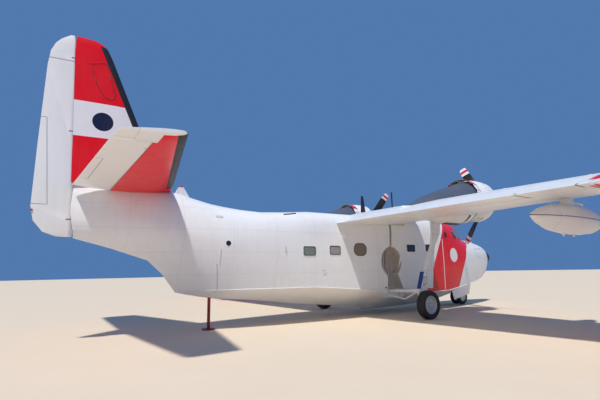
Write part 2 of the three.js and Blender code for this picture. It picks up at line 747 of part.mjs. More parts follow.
// Fin, rudder, tailplane and elevators
function rudderHinge(z) {
  const x = RUDDER_HINGE.x0 + RUDDER_HINGE.slope * (z - RUDDER_HINGE.z0);
  const radius = between(RUDDER_SECTIONS, z)[2];
  return { x, z, radius, centre: new THREE.Vector3(x, 0, z) };
}

// Fin outline at one height: from its round nose back to the lips beside the rudder
function finRing([z, lead, half], extra = 0) {
  const chord = lead - rudderHinge(z).x - 0.35 * half;
  const shares = [[0, 0], [0.03, 0.42], [0.12, 0.78], [0.3, 1.06], [0.6, 1.12], [1, 1.01]];
  const point = ([share, wide], side) => new THREE.Vector3(
    lead + (share === 0 ? extra : 0) - share * chord, side * (wide * half + extra * Math.sign(wide)), z);
  return [...shares.map((row) => point(row, 1)), ...shares.slice(1).reverse().map((row) => point(row, -1))];
}

function finBody(extra = 0) {
  return skin(FIN_SECTIONS.map((row) => finRing(row, extra)), ['x', 'y']);
}

function rudderRing([z, trail, half], steps = 6) {
  const { x } = rudderHinge(z);
  const edge = 8;
  const ring = [];
  for (let i = 0; i <= steps; i += 1) {
    const angle = Math.PI / 2 - (Math.PI * i) / steps;
    ring.push(new THREE.Vector3(x + half * Math.cos(angle), half * Math.sin(angle), z));
  }
  ring.push(new THREE.Vector3(trail, -edge, z), new THREE.Vector3(trail, edge, z));
  return ring;
}

// Round room about the rudder's hinge line, cut from the fin and the tail
function rudderRoom(steps = 16) {
  const heights = [2300, 3250, 4870, 7450, 8100];
  return skin(heights.map((z) => {
    const { x, radius } = rudderHinge(THREE.MathUtils.clamp(z, 2900, 7450));
    const shift = RUDDER_HINGE.slope * (z - THREE.MathUtils.clamp(z, 2900, 7450));
    const ring = [];
    for (let i = 0; i < steps; i += 1) {
      const angle = (2 * Math.PI * (i + 0.5)) / steps;
      const reach = (radius + RUN_CLEAR) / Math.cos(Math.PI / steps);
      ring.push(new THREE.Vector3(x + shift + reach * Math.cos(angle), reach * Math.sin(angle), z));
    }
    return ring;
  }), ['x', 'y']);
}

function tailPieces(hull) {
  const room = rudderRoom();
  const along = new THREE.Vector3(RUDDER_HINGE.slope, 0, 1).normalize().toArray();
  const forward = new THREE.Vector3(1, 0, -RUDDER_HINGE.slope).normalize().toArray();
  let rudder = skin(RUDDER_SECTIONS.map((row) => rudderRing(row)), ['x', 'y']);
  let fin = finBody().subtract(room).subtract(hullWhole).subtract(hullWhole.translate([0, 0, SEAT]));
  let tail = hull.subtract(room);
  [fin, rudder] = hingeSet(fin, rudder, rudderHinge, FIN_BRACKETS, along, forward);
  [tail, rudder] = hingeSet(tail, rudder, rudderHinge, TAIL_BRACKETS, along, forward);
  return { fin, rudder, tail };
}

function tailplanePieces() {
  const whole = skin(TAILPLANE_SECTIONS.map(([y]) => foilRing(tailplaneSection(y))), ['x', 'z']);
  const [fixed, elevator] = hingedSurface(whole, tailplaneSection, elevatorHinge, ELEVATOR);
  const hullRoom = joined([hullWhole, hullWhole.translate([0, SEAT, 0]), hullWhole.translate([0, SEAT, SEAT])]);
  const leftOnly = block(-9000, -6000, 0, 5000, 3000, 5000);
  const stabilizer = fixed.intersect(leftOnly).subtract(finBody(SEAT)).subtract(hullRoom);
  return { stabilizer: largest(stabilizer), elevator };
}

function largest(solid) {
  return solid.decompose().sort((a, b) => b.volume() - a.volume())[0];
}

// Wing floats, their struts, and the drop tanks with their pylons
function floatRing([x, keel, chine, chineHalf, deckHalf, deck]) {
  const half = [[0, keel], [chineHalf, chine], [deckHalf, lerp(chine, deck, 0.55)], [0.75 * deckHalf, lerp(chine, deck, 0.88)],
    [0, deck + 0.12 * deckHalf]];
  const left = half.map(([y, z]) => new THREE.Vector3(x, FLOAT_Y + y, z));
  const right = half.slice(1, -1).reverse().map(([y, z]) => new THREE.Vector3(x, FLOAT_Y - y, z));
  return [...left, ...right];
}

function lensOutline(x0, x1, y, half) {
  const shares = [[0, 0], [0.12, 0.7], [0.4, 1], [0.75, 0.7], [1, 0.12]];
  const side = (sign) => shares.map(([share, wide]) => [lerp(x1, x0, share), y + sign * wide * half]);
  return [...side(1), ...side(-1).slice(1).reverse()];
}

function floatBody() {
  return skin(FLOAT_SECTIONS.map(floatRing), ['y', 'z']);
}

function floatStrut(body) {
  const column = prism(lensOutline(FLOAT_STRUT.x0, FLOAT_STRUT.x1, FLOAT_Y, FLOAT_STRUT.half), 'z', 2700, 3560);
  return largest(column.subtract(wingRoom).subtract(body.translate([0, 0, SEAT])).subtract(body));
}

function dropTank() {
  const shares = [[-1, 0], [-0.93, 0.2], [-0.75, 0.52], [-0.45, 0.86], [-0.1, 1], [0.3, 0.98], [0.62, 0.8], [0.84, 0.52],
    [0.96, 0.24], [1, 0]];
  const profile = shares.map(([along, out]) => [out * TANK.radius, along * TANK.halfLength]);
  return turned(profile, [TANK.x, TANK.y, TANK.z], [1, 0, 0], 24);
}

function tankPylon(tank) {
  const column = prism(lensOutline(TANK_PYLON.x0, TANK_PYLON.x1, TANK.y, TANK_PYLON.half), 'z', 2900, 3500);
  return largest(column.subtract(wingRoom).subtract(tank.translate([0, 0, SEAT])).subtract(tank));
}

// Main gear: shock leg with its axle, lower arms to the hull, rim and tyre
const KNUCKLE_R = 78;
const KNUCKLE_HALF = 70;
const COLLAR_R = 62;
const TYRE_SIDES = 22;
const HUB_FACE = 0.5;        // how far in the hub's inner face lies, as a share of half the tyre's width

// Inner face of a wheel's hub, which the collar on its axle meets
function hubFace({ y, width }) {
  return y - HUB_FACE * width / 2;
}

function knuckle([x, y, z]) {
  return rod([x, y - KNUCKLE_HALF, z], [x, y + KNUCKLE_HALF, z], KNUCKLE_R, 16);
}

function mainLeg() {
  const part = (share) => LEG_KNEE.map((value, i) => lerp(value, LEG_TOP[i], share));
  const axle = rod(LEG_FOOT, [MAIN_WHEEL.x, MAIN_WHEEL.y + 60, MAIN_WHEEL.radius], AXLE_R, 12);
  const collar = rod(LEG_FOOT, [LEG_FOOT[0], hubFace(MAIN_WHEEL) - SEAT, LEG_FOOT[2]], COLLAR_R, 12);
  const link = rod(LEG_FOOT, LEG_KNEE, 62, 12);
  const piston = rod(LEG_KNEE, part(0.3), 50, 12);
  const gland = rod(part(0.28), part(0.32), 95, 14);
  const cylinder = rod(part(0.3), LEG_TOP, 78, 14);
  const head = prism(LEG_HEAD, 'y', ...LEG_HEAD_SIDES);
  const stay = rod(part(0.9), LEG_STAY_TOP, 20, 8);
  const plate = prism(LEG_PLATE, 'y', ...LEG_PLATE_SIDES);
  const knuckles = [knuckle(LEG_FOOT), knuckle(LEG_KNEE)];
  return joined([axle, collar, ...knuckles, link, piston, gland, cylinder, head, stay, plate]).subtract(wingRoom);
}

// Two arms from the hull to the knee, and a cranked brace under them
function mainArms(hull) {
  const arms = ARM_ROOTS.map((root) => rod(root, LEG_KNEE, 52, 10));
  const braces = [rod(BRACE_ROOT, BRACE_BEND, 26, 8), rod(BRACE_BEND, LEG_KNEE, 26, 8)];
  const [x, y, z] = LEG_KNEE;
  const cut = rod([x, y - KNUCKLE_HALF - SEAT, z], [x, y + 2 * KNUCKLE_HALF, z], 2 * KNUCKLE_R, 16);
  return joined([...arms, ...braces]).subtract(cut).subtract(hull.translate([0, SEAT, 0]));
}

// Wheel turned about Y, with a flat of its outline on the ground
function wheelTurned(profile, { x, y, z }, sides) {
  const grow = 1 / Math.cos(Math.PI / sides);
  const points = profile.map(([radius, along]) => new THREE.Vector2(radius * grow, along));
  const geometry = new THREE.LatheGeometry(points, sides);
  geometry.rotateY(Math.PI / sides);
  geometry.translate(x, y, z);
  const { array } = geometry.attributes.position;
  if (enclosedVolume(array, geometry.index.array) < 0) geometry.setIndex(flipped([...geometry.index.array]));
  return solidOf(geometry);
}

function tyre({ x, y, radius, width, rim }) {
  const half = width / 2;
  const seat = rim + SEAT;
  const profile = [[seat, -0.72 * half], [0.82 * radius, -half], [0.94 * radius, -0.85 * half], [radius, -0.45 * half],
    [radius, 0.45 * half], [0.94 * radius, 0.85 * half], [0.82 * radius, half], [seat, 0.72 * half],
    [seat, -0.72 * half]];
  return wheelTurned(profile, { x, y, z: radius }, TYRE_SIDES);
}

// Rim with its bore from the inboard side
function rimOf({ x, y, radius, width, rim }, bore, boreFrom, boreTo) {
  const half = width / 2;
  const profile = [[0, -HUB_FACE * half], [0.36 * rim, -HUB_FACE * half], [0.8 * rim, -0.72 * half],
    [rim, -0.78 * half], [rim, 0.78 * half],
    [0.85 * rim, 0.72 * half], [0.5 * rim, 0.45 * half], [0, 0.66 * half]];
  const disc = wheelTurned(profile, { x, y, z: radius }, TYRE_SIDES);
  return bore ? disc.subtract(rod([x, boreFrom, radius], [x, boreTo, radius], bore, 12)) : disc;
}

// Nose gear: fixed strut in its well, steered fork with its axle, twin wheels
const NOSE_STRUT_R = 85;
const NOSE_JOINT_Z = 800;
const NOSE_SPIGOT_R = 34;
const NOSE_AXLE_R = 30;

function noseStrut(hull) {
  const column = rod([NOSE_PIVOT_X, 0, NOSE_JOINT_Z], [NOSE_PIVOT_X, 0, NOSE_WELL.top + 20], NOSE_STRUT_R, 14);
  const brace = rod([NOSE_PIVOT_X, 0, 950], [NOSE_WELL.x0 - 20, 0, 1400], 40, 10);
  const bore = rod([NOSE_PIVOT_X, 0, NOSE_JOINT_Z - 5], [NOSE_PIVOT_X, 0, NOSE_JOINT_Z + 130],
    boreFor(NOSE_SPIGOT_R, 12), 12);
  return joined([column, brace]).subtract(bore).subtract(hull.translate([0, 0, -SEAT])).subtract(
    hull.translate([SEAT, 0, 0]));
}

function noseFork() {
  const { x, radius } = NOSE_WHEEL;
  const bossEnd = hubFace(NOSE_WHEEL) - SEAT;
  const spigot = rod([x, 0, NOSE_JOINT_Z - 20], [x, 0, NOSE_JOINT_Z + 120], NOSE_SPIGOT_R, 12);
  const stem = rod([x, 0, radius], [x, 0, NOSE_JOINT_Z - SEAT], 58, 12);
  const boss = rod([x, -bossEnd, radius], [x, bossEnd, radius], 64, 14);
  const bore = rod([x, -bossEnd - 10, radius], [x, bossEnd + 10, radius], boreFor(NOSE_AXLE_R, 12), 12);
  return joined([spigot, stem, boss]).subtract(bore);
}

// Both rims turn with the live axle between them
function noseRims() {
  const { x, y, radius } = NOSE_WHEEL;
  const left = rimOf(NOSE_WHEEL);
  return joined([left, mirrored(left), rod([x, -y, radius], [x, y, radius], NOSE_AXLE_R, 12)]);
}

function noseDoor(hull) {
  const outline = [[5700, 1100], [5960, 265], [7080, 470], [7330, 1100]];
  const door = prism(outline, 'y', NOSE_WELL.half + 8, NOSE_WELL.half + 32)
    .subtract(hull.translate([0, 0, -SEAT])).subtract(hull.translate([0, SEAT, 0]))
    .subtract(hull.translate([0, -SEAT, 0])).subtract(hull);
  return lowest(door);
}

function lowest(solid) {
  const parts = solid.decompose();
  return parts.sort((a, b) => a.boundingBox().min[2] - b.boundingBox().min[2])[0];
}

// Cabin door with its lugs, and the brackets with their pins that the hull carries
function cabinDoor() {
  const opening = block(DOOR.x0 + RUN_CLEAR, DOOR.x1 - RUN_CLEAR, 500, 1400, DOOR.z0 + RUN_CLEAR, DOOR.z1 - RUN_CLEAR);
  let door = hullWhole.subtract(shrunkHull(DOOR.thick)).intersect(opening);
  const brackets = [];
  const { x, y, eye, lug, reach, stations } = DOOR_AXIS;
  for (const z of stations) {
    const plate = (z0, z1, way) => joined([
      rod([x, y, z0], [x, y, z1], eye, 8),
      block(Math.min(x, x + way * lug), Math.max(x, x + way * lug), y - eye, y + eye, z0, z1),
      block(Math.min(x + way * 35, x + way * lug), Math.max(x + way * 35, x + way * lug), y - reach, y + eye, z0, z1),
    ]);
    const pin = rod([x, y, z - 40], [x, y, z + 40], HINGE_PIN_R, 8);
    brackets.push(plate(z - 12, z + 12, 1), pin);
    door = joined([door, plate(z - 45, z - 12 - RUN_CLEAR, -1), plate(z + 12 + RUN_CLEAR, z + 45, -1)]);
    door = door.subtract(rod([x, y, z - 60], [x, y, z + 60], boreFor(HINGE_PIN_R, 8), 8));
  }
  return { door, brackets: joined(brackets) };
}

// Round cap on the nose, seated in the hull
function radome(extra = 0) {
  const length = RADOME.front - RADOME.base;
  const shares = [[0, -extra / length], [1, -extra / length], [1, 0.18], [0.95, 0.45], [0.8, 0.7], [0.5, 0.91], [0, 1]];
  const profile = shares.map(([out, along]) => [out * (RADOME.radius + extra), along * length]);
  return turned(profile, [RADOME.base, 0, RADOME.z], [1, 0, 0], 20);
}

// Small pieces on top: wire mast, blade aerial and the beacon on its pylon
function onRoof(solid) {
  return solid.subtract(hullWhole.translate([0, 0, SEAT])).subtract(hullWhole).subtract(wingRoom);
}

function wireMast() {
  return onRoof(prism(lensOutline(2880, 2960, 0, 22), 'z', 3400, 4790));
}

function bladeAerial() {
  return onRoof(prism([[1100, 3400], [1420, 3400], [1265, 4465], [1165, 4465]], 'y', -14, 14));
}

function beaconPylon() {
  const outline = [[-6240, 3700], [-5700, 3700], [-5930, 4060], [-6060, 4060]];
  return prism(outline, 'y', -55, 55).subtract(hullWhole.translate([0, 0, SEAT])).subtract(hullWhole)
    .subtract(finBody(SEAT));
}

function tailPost(hull) {
  const foot = rod([POST.x, 0, 0], [POST.x, 0, POST.footHeight], POST.foot, 16);
  const column = rod([POST.x, 0, 0], [POST.x, 0, 1100], POST.radius, 12);
  const clear = hull.translate([0, 0, -SEAT]);
  return lowest(joined([foot, column]).subtract(clear));
}

const glass = hullWhole.intersect(glassBand(SEAT));
const { door, brackets } = cabinDoor();
const hullCut = hullWhole.subtract(glassBand(0)).subtract(radome(SEAT)).subtract(wingRoom).subtract(noseWell).subtract(lobby)
  .subtract(mainWheelWell()).subtract(mirrored(mainWheelWell())).add(brackets);
const { fin, rudder, tail: hull } = tailPieces(hullCut);
const { stabilizer, elevator } = tailplanePieces();
const tank = dropTank();
const wingFloat = floatBody();

place('hull', hull, 'white');
place('windscreen', glass, 'glass');
place('radome', radome(), 'black');
place('cabin_door', door, 'white');
place('wing_centre', wing.centre, 'white');
placePair('wing_outer', wing.outer, 'white');
placePair('flap', wing.flap, 'white');
placePair('aileron', wing.aileron, 'white');
placePair('nacelle', nacelle(), 'slate');
placePair('cowl', cowl(), 'white');
placePair('engine', engine(), 'steel');
placePropeller('left', 1);
placePropeller('right', -1);
place('fin', fin, 'red');
place('rudder', rudder, 'white');
placePair('stabilizer', stabilizer, 'red');
placePair('elevator', elevator, 'white');
placePair('wing_float', wingFloat, 'white');
placePair('float_strut', floatStrut(wingFloat), 'white');
placePair('drop_tank', tank, 'under');
placePair('tank_pylon', tankPylon(tank), 'under');
placePair('main_leg', mainLeg(), 'white');
placePair('main_arms', mainArms(hull), 'steel');
placePair('main_rim', rimOf(MAIN_WHEEL, boreFor(AXLE_R, 12), 2500, 2785), 'steel');
placePair('main_tyre', tyre(MAIN_WHEEL), 'rubber');
place('nose_strut', noseStrut(hull), 'steel');
place('nose_fork', noseFork(), 'steel');
place('nose_rims', noseRims(), 'steel');
placePair('nose_tyre', tyre(NOSE_WHEEL), 'rubber');
placePair('nose_door', noseDoor(hull), 'white');
place('wire_mast', wireMast(), 'black');
place('blade_aerial', bladeAerial(), 'black');
place('beacon_pylon', beaconPylon(), 'white');
place('tail_post', tailPost(hull), 'post');

export default model;
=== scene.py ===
"""Dresses a twin-engined flying boat, parked on its wheels, for rendering.

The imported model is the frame. Metres throughout: +X is forward, +Y is the pilot's left and the
ground is z = 0. The file is laid out as an add-on, and is run as a script.
"""

import json
import math

import bmesh
import bpy
from mathutils import Matrix, Vector
from mathutils.bvhtree import BVHTree

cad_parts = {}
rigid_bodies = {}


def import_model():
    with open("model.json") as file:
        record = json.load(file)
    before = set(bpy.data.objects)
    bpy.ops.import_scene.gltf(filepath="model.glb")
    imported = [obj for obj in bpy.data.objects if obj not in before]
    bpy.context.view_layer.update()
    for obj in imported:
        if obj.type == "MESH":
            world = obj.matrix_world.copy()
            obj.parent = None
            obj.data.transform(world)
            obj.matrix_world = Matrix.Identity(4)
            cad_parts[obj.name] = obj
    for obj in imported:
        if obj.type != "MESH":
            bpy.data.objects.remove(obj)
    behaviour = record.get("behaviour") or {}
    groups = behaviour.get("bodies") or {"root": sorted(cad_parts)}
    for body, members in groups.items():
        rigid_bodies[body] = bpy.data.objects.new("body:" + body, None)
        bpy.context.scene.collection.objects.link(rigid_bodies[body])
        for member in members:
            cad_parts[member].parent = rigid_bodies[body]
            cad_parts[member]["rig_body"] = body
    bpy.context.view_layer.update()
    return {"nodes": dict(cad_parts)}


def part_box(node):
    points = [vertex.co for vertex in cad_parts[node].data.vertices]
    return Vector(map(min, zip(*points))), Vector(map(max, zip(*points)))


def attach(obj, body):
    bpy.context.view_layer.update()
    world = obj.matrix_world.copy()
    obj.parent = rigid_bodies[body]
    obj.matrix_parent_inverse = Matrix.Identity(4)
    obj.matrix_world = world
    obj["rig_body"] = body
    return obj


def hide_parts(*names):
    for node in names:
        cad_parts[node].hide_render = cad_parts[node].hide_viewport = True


bl_info = {
    "name": "Flying boat dressing",
    "version": (1, 0, 0),
    "blender": (4, 5, 0),
    "location": "View3D > Sidebar > Flying boat",
    "description": "Paint, glazing, engines, running gear and fittings for a packed flying boat",
    "category": "Object",
}

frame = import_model()

# Sides of the aircraft: name, and the sign of y there
SIDES = {"left": 1, "right": -1}

# Directions, and a distance beyond every part of the aircraft
AHEAD = (1.0, 0.0, 0.0)
ASIDE = (0.0, 1.0, 0.0)
UP = (0.0, 0.0, 1.0)
FAR = 20.0

# Camera, fitted to the photograph: place, direction of view, roll and lens
EYE = Vector((-9.69118, -11.3124, 1.59356))
VIEW_YAW = 0.9600
VIEW_PITCH = 0.1766
VIEW_ROLL = -0.0189
LENS = 24.0
SENSOR = 36.0

# Light: the key light's direction, from the shadows in the photograph, and how strong and soft it is
KEY_DIRECTION = Vector((0.43, 0.33, -1.0))
KEY_STRENGTH = 3.3
KEY_ANGLE = math.radians(2.5)
KEY_COLOUR = (1.0, 0.97, 0.92)
SKY_STRENGTH = 0.42
FLOOR_SIZE = 400

# The left cowl, read from the frame: its length and radius, and the middle of its rear face
COWL_LOW, COWL_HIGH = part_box("cowl_left")
COWL_LONG = COWL_HIGH.x - COWL_LOW.x
COWL_RADIUS = (COWL_HIGH.z - COWL_LOW.z) / 2
ENGINE = Vector((COWL_LOW.x, (COWL_LOW.y + COWL_HIGH.y) / 2, (COWL_LOW.z + COWL_HIGH.z) / 2))


def colour(name, description, default):
    """A colour that a user can change."""
    return bpy.props.FloatVectorProperty(
        name=name, description=description, subtype="COLOR", size=3, min=0, max=1, default=default
    )


def length(name, description, default):
    """A length in metres that a user can change."""
    return bpy.props.FloatProperty(name=name, description=description, default=default, unit="LENGTH")


class BoatColours(bpy.types.PropertyGroup):
    """Paint, metal and glass colours of the flying boat, and the plain floor and light."""

    white: colour("White", "Main paint of the hull and wings", (0.84, 0.845, 0.86))
    red: colour("Red", "Band on the bow and fields on the tail", (0.8, 0.003, 0.012))
    slate: colour("Slate", "Glare shield over each nacelle", (0.075, 0.095, 0.135))
    # Black is also painted as shade: in gaps low on the nacelles and cowls, and as a painted shadow under
    # each nacelle
    black: colour("Black", "Blades and aerials", (0.012, 0.012, 0.014))
    navy: colour("Navy", "Disc on the fin", (0.008, 0.012, 0.05))
    blue: colour("Blue", "Covers of the legs' lower struts", (0.006, 0.04, 0.26))
    grey: colour("Grey", "Handles and small fittings", (0.42, 0.43, 0.44))
    post: colour("Post", "Paint of the tail post", (0.28, 0.012, 0.014))
    boot: colour("Boot", "De-icing rubber", (0.012, 0.013, 0.017))
    well: colour("Well", "Inside of the wheel wells", (0.62, 0.57, 0.5))
    grime: colour("Grime", "Dust and run-off on the paint", (0.42, 0.33, 0.22))
    haze: colour("Haze", "Film of dirt on the panes", (0.34, 0.35, 0.33))
    seam: colour("Seam", "Shadow in the panel seams", (0.23, 0.22, 0.2))
    stain: colour("Stain", "Heat-stained cowl flaps", (0.36, 0.27, 0.17))
    rubber: colour("Rubber", "Tyres", (0.016, 0.016, 0.017))
    steel: colour("Steel", "Bare metal of the engines and pipes", (0.46, 0.47, 0.48))
    dark_steel: colour("Dark steel", "Cylinders", (0.16, 0.155, 0.15))
    chrome: colour("Chrome", "Bright sleeves, tubes and rims", (0.8, 0.8, 0.8))
    alloy: colour("Alloy", "Wheels, clamps and caps", (0.52, 0.53, 0.55))
    brass: colour("Brass", "Ignition rings", (0.55, 0.42, 0.2))
    dark_glass: colour("Dark glass", "Forward panes and landing lamps", (0.02, 0.026, 0.03))
    green_glass: colour("Green glass", "Rear pane and windscreen", (0.17, 0.22, 0.19))
    # Painted reflections: the mauve and brown panes take the colours that those panes reflect
    mauve_glass: colour("Mauve glass", "Middle pane", (0.33, 0.28, 0.28))
    brown_glass: colour("Brown glass", "Rounded pane", (0.22, 0.165, 0.10))
    red_lamp: colour("Red lamp", "Beacon, tail and left tip", (0.6, 0.01, 0.01))
    green_lamp: colour("Green lamp", "Right tip", (0.01, 0.35, 0.1))
    floor: colour("Floor", "Plain floor under the aircraft", (0.76, 0.62, 0.45))
    backdrop: colour("Backdrop", "Plain light all round", (0.2, 0.46, 1.0))


class BoatSizes(bpy.types.PropertyGroup):
    """Sizes of the dressing."""

    seam_width: length("Seam width", "Width of a panel seam in the paint", 0.008)
    frame_pitch: length("Frame pitch", "Distance between the hull's vertical seams", 1.35)
    strake_pitch: length("Strake pitch", "Distance between the hull's level seams", 0.62)
    rivet_pitch: length("Rivet pitch", "Distance between rivets", 0.045)
    frame_width: length("Frame width", "Raised metal round each window", 0.03)
    gasket_width: length("Gasket width", "Rubber round each pane", 0.02)
    smooth_angle: bpy.props.FloatProperty(
        name="Smooth angle",
        description="Edges flatter than this are shaded smooth",
        default=math.radians(32),
        subtype="ANGLE",
    )


def colours():
    return bpy.context.scene.boat_colours


def sizes():
    return bpy.context.scene.boat_sizes


# Wiring of materials


class Net:
    """A short way to add and join the nodes of one tree."""

    def __init__(self, tree):
        self.tree = tree

    def node(self, kind, **settings):
        made = self.tree.nodes.new(kind)
        for name, value in settings.items():
            setattr(made, name, value)
        return made

    def feed(self, socket, value):
        """Joins an output to the socket, or sets the socket's own value."""
        if isinstance(value, bpy.types.NodeSocket):
            self.tree.links.new(value, socket)
        elif isinstance(value, (tuple, list)) and len(value) == 3 and socket.type == "RGBA":
            socket.default_value = (*value, 1.0)
        else:
            socket.default_value = value

    def maths(self, operation, *values, clamp=False):
        made = self.node("ShaderNodeMath", operation=operation, use_clamp=clamp)
        for socket, value in zip(made.inputs, values):
            self.feed(socket, value)
        return made.outputs[0]

    def vector(self, operation, *values, output=0):
        made = self.node("ShaderNodeVectorMath", operation=operation)
        for socket, value in zip(made.inputs, values):
            self.feed(socket, value)
        return made.outputs[output]

    def parts(self, vector):
        """The three numbers of a vector."""
        made = self.node("ShaderNodeSeparateXYZ")
        self.feed(made.inputs[0], vector)
        return made.outputs

    def off_line(self, value, pitch):
        """Distance from the nearest of the lines that stand a pitch apart."""
        share = self.maths("FRACT", self.maths("DIVIDE", value, pitch))
        return self.maths("MULTIPLY", self.maths("ABSOLUTE", self.maths("SUBTRACT", share, 0.5)), pitch)

    def mix(self, share, first, second):
        """Colour between the first, at share 0, and the second, at share 1."""
        made = self.node("ShaderNodeMix", data_type="RGBA")
        self.feed(made.inputs["Factor"], share)
        self.feed(made.inputs[6], first)
        self.feed(made.inputs[7], second)
        return made.outputs[2]

    def scaled(self, value, low, high):
        """Value from 0 to 1 spread between low and high."""
        made = self.node("ShaderNodeMapRange")
        for socket, number in zip(made.inputs, (value, 0.0, 1.0, low, high)):
            self.feed(socket, number)
        return made.outputs[0]

    def noise(self, vector, scale, detail=3.0, roughness=0.55):
        made = self.node("ShaderNodeTexNoise")
        self.feed(made.inputs["Vector"], vector)
        self.feed(made.inputs["Scale"], scale)
        self.feed(made.inputs["Detail"], detail)
        self.feed(made.inputs["Roughness"], roughness)
        return made.outputs[0]

    def group(self, tree, **values):
        """Places a node group; an underscore in a name stands for a space."""
        made = self.node("ShaderNodeGroup", node_tree=tree)
        for name, value in values.items():
            self.feed(made.inputs[name.replace("_", " ")], value)
        return made.outputs


def new_group(name, takes, gives):
    """An empty node group with named sockets, and its input and output nodes."""
    tree = bpy.data.node_groups.new(name, "ShaderNodeTree")
    for label, kind, default in takes:
        socket = tree.interface.new_socket(name=label, in_out="INPUT", socket_type=kind)
        if default is not None:
            socket.default_value = default
    for label, kind in gives:
        tree.interface.new_socket(name=label, in_out="OUTPUT", socket_type=kind)
    net = Net(tree)
    return net, net.node("NodeGroupInput").outputs, net.node("NodeGroupOutput").inputs


FLOAT = "NodeSocketFloat"
VECTOR = "NodeSocketVector"


# In the seams: the cosine past which a face is too steep to show a line, and the rivets' radius as a share
# of their pitch
LINE_COSINE = 0.72
RIVET_SHARE = 0.14


def slab_group():
    """Mask of what lies between two parallel planes."""
    net, takes, gives = new_group(
        "Slab",
        [
            ("Vector", VECTOR, None),
            ("Across", VECTOR, (1.0, 0.0, 0.0)),
            ("Start", FLOAT, 0.0),
            ("End", FLOAT, 1.0),
            ("Feather", FLOAT, 0.004),
        ],
        [("Mask", FLOAT)],
    )
    along = net.vector("DOT_PRODUCT", takes["Vector"], takes["Across"], output="Value")
    middle = net.maths("MULTIPLY", net.maths("ADD", takes["Start"], takes["End"]), 0.5)
    half = net.maths("MULTIPLY", net.maths("SUBTRACT", takes["End"], takes["Start"]), 0.5)
    off = net.maths("ABSOLUTE", net.maths("SUBTRACT", along, middle))
    between = net.maths("DIVIDE", net.maths("SUBTRACT", half, off), takes["Feather"])
    net.feed(gives["Mask"], net.maths("ADD", between, 0.5, clamp=True))
    return net.tree


def spot_group():
    """Mask of a ball, or of a disc or tube where one direction is scaled to nothing."""
    net, takes, gives = new_group(
        "Spot",
        [
            ("Vector", VECTOR, None),
            ("Centre", VECTOR, (0.0, 0.0, 0.0)),
            ("Stretch", VECTOR, (1.0, 1.0, 1.0)),
            ("Radius", FLOAT, 1.0),
            ("Feather", FLOAT, 0.004),
        ],
        [("Mask", FLOAT)],
    )
    off = net.vector("MULTIPLY", net.vector("SUBTRACT", takes["Vector"], takes["Centre"]), takes["Stretch"])
    distance = net.vector("LENGTH", off, output="Value")
    depth = net.maths("DIVIDE", net.maths("SUBTRACT", takes["Radius"], distance), takes["Feather"])
    net.feed(gives["Mask"], net.maths("ADD", depth, 0.5, clamp=True))
    return net.tree


def seams_group():
    """Panel seams in a grid, with a row of rivets on each side of every seam."""
    net, takes, gives = new_group(
        "Panel seams",
        [
            ("Vector", VECTOR, None),
            ("Pitch", VECTOR, (1.35, 0.9, 0.62)),
            ("Width", FLOAT, 0.008),
            ("Rivet pitch", FLOAT, 0.045),
        ],
        [("Seam", FLOAT), ("Rivets", FLOAT)],
    )
    faces = net.parts(net.vector("ABSOLUTE", net.node("ShaderNodeNewGeometry").outputs["Normal"]))
    place = net.parts(takes["Vector"])
    pitch = net.parts(takes["Pitch"])
    rivet_radius = net.maths("MULTIPLY", takes["Rivet pitch"], RIVET_SHARE)
    beside = net.maths("MULTIPLY", takes["Rivet pitch"], 0.5)
    seam = rivets = 0.0
    for axis, other in ((0, 2), (1, 0), (2, 0)):
        visible = net.maths("LESS_THAN", faces[axis], LINE_COSINE)
        distance = net.off_line(place[axis], pitch[axis])
        joint = net.maths("LESS_THAN", distance, net.maths("MULTIPLY", takes["Width"], 0.5))
        seam = net.maths("MAXIMUM", seam, net.maths("MULTIPLY", joint, visible))
        along = net.maths("POWER", net.off_line(place[other], takes["Rivet pitch"]), 2)
        across = net.maths("POWER", net.maths("SUBTRACT", distance, beside), 2)
        rivet = net.maths("LESS_THAN", net.maths("SQRT", net.maths("ADD", along, across)), rivet_radius)
        rivets = net.maths("MAXIMUM", rivets, net.maths("MULTIPLY", rivet, visible))
    net.feed(gives["Seam"], seam)
    net.feed(gives["Rivets"], rivets)
    return net.tree


def weather_group():
    """Blotches, streaks that run down, and the slow dents of a sheet-metal skin."""
    net, takes, gives = new_group(
        "Weather",
        [
            ("Vector", VECTOR, None),
            ("Scale", FLOAT, 1.0),
            ("Streaks", FLOAT, 0.5),
            ("Flow", VECTOR, (3.0, 3.0, 0.25)),
        ],
        [("Grime", FLOAT), ("Patches", FLOAT), ("Dents", FLOAT), ("Grain", FLOAT)],
    )
    at = net.vector("SCALE", takes["Vector"])
    net.feed(at.node.inputs["Scale"], takes["Scale"])
    blotch = net.noise(at, scale=0.9, detail=5.0, roughness=0.6)
    streak = net.noise(net.vector("MULTIPLY", at, takes["Flow"]), scale=2.2, detail=4.0, roughness=0.6)
    streak = net.maths("MULTIPLY", net.maths("SUBTRACT", streak, 0.5), takes["Streaks"])
    both = net.maths("ADD", net.maths("SUBTRACT", blotch, 0.42), net.maths("MULTIPLY", streak, 2.0))
    net.feed(gives["Grime"], net.maths("MULTIPLY", both, 1.6, clamp=True))
    net.feed(gives["Patches"], net.noise(at, scale=3.4, detail=4.0))
    net.feed(gives["Dents"], net.noise(at, scale=1.5, detail=2.0, roughness=0.4))
    net.feed(gives["Grain"], net.noise(at, scale=90.0, detail=3.0))
    return net.tree


def rubber_group():
    """Uneven dust on rubber, and its fine grain."""
    net, takes, gives = new_group(
        "Rubber dust", [("Vector", VECTOR, None), ("Scale", FLOAT, 9.0)], [("Dust", FLOAT), ("Grain", FLOAT)]
    )
    dust = net.noise(takes["Vector"], takes["Scale"], detail=5.0, roughness=0.65)
    net.feed(gives["Dust"], net.maths("POWER", dust, 2.2, clamp=True))
    net.feed(gives["Grain"], net.noise(takes["Vector"], scale=160.0, detail=2.0))
    return net.tree


GROUPS = {}


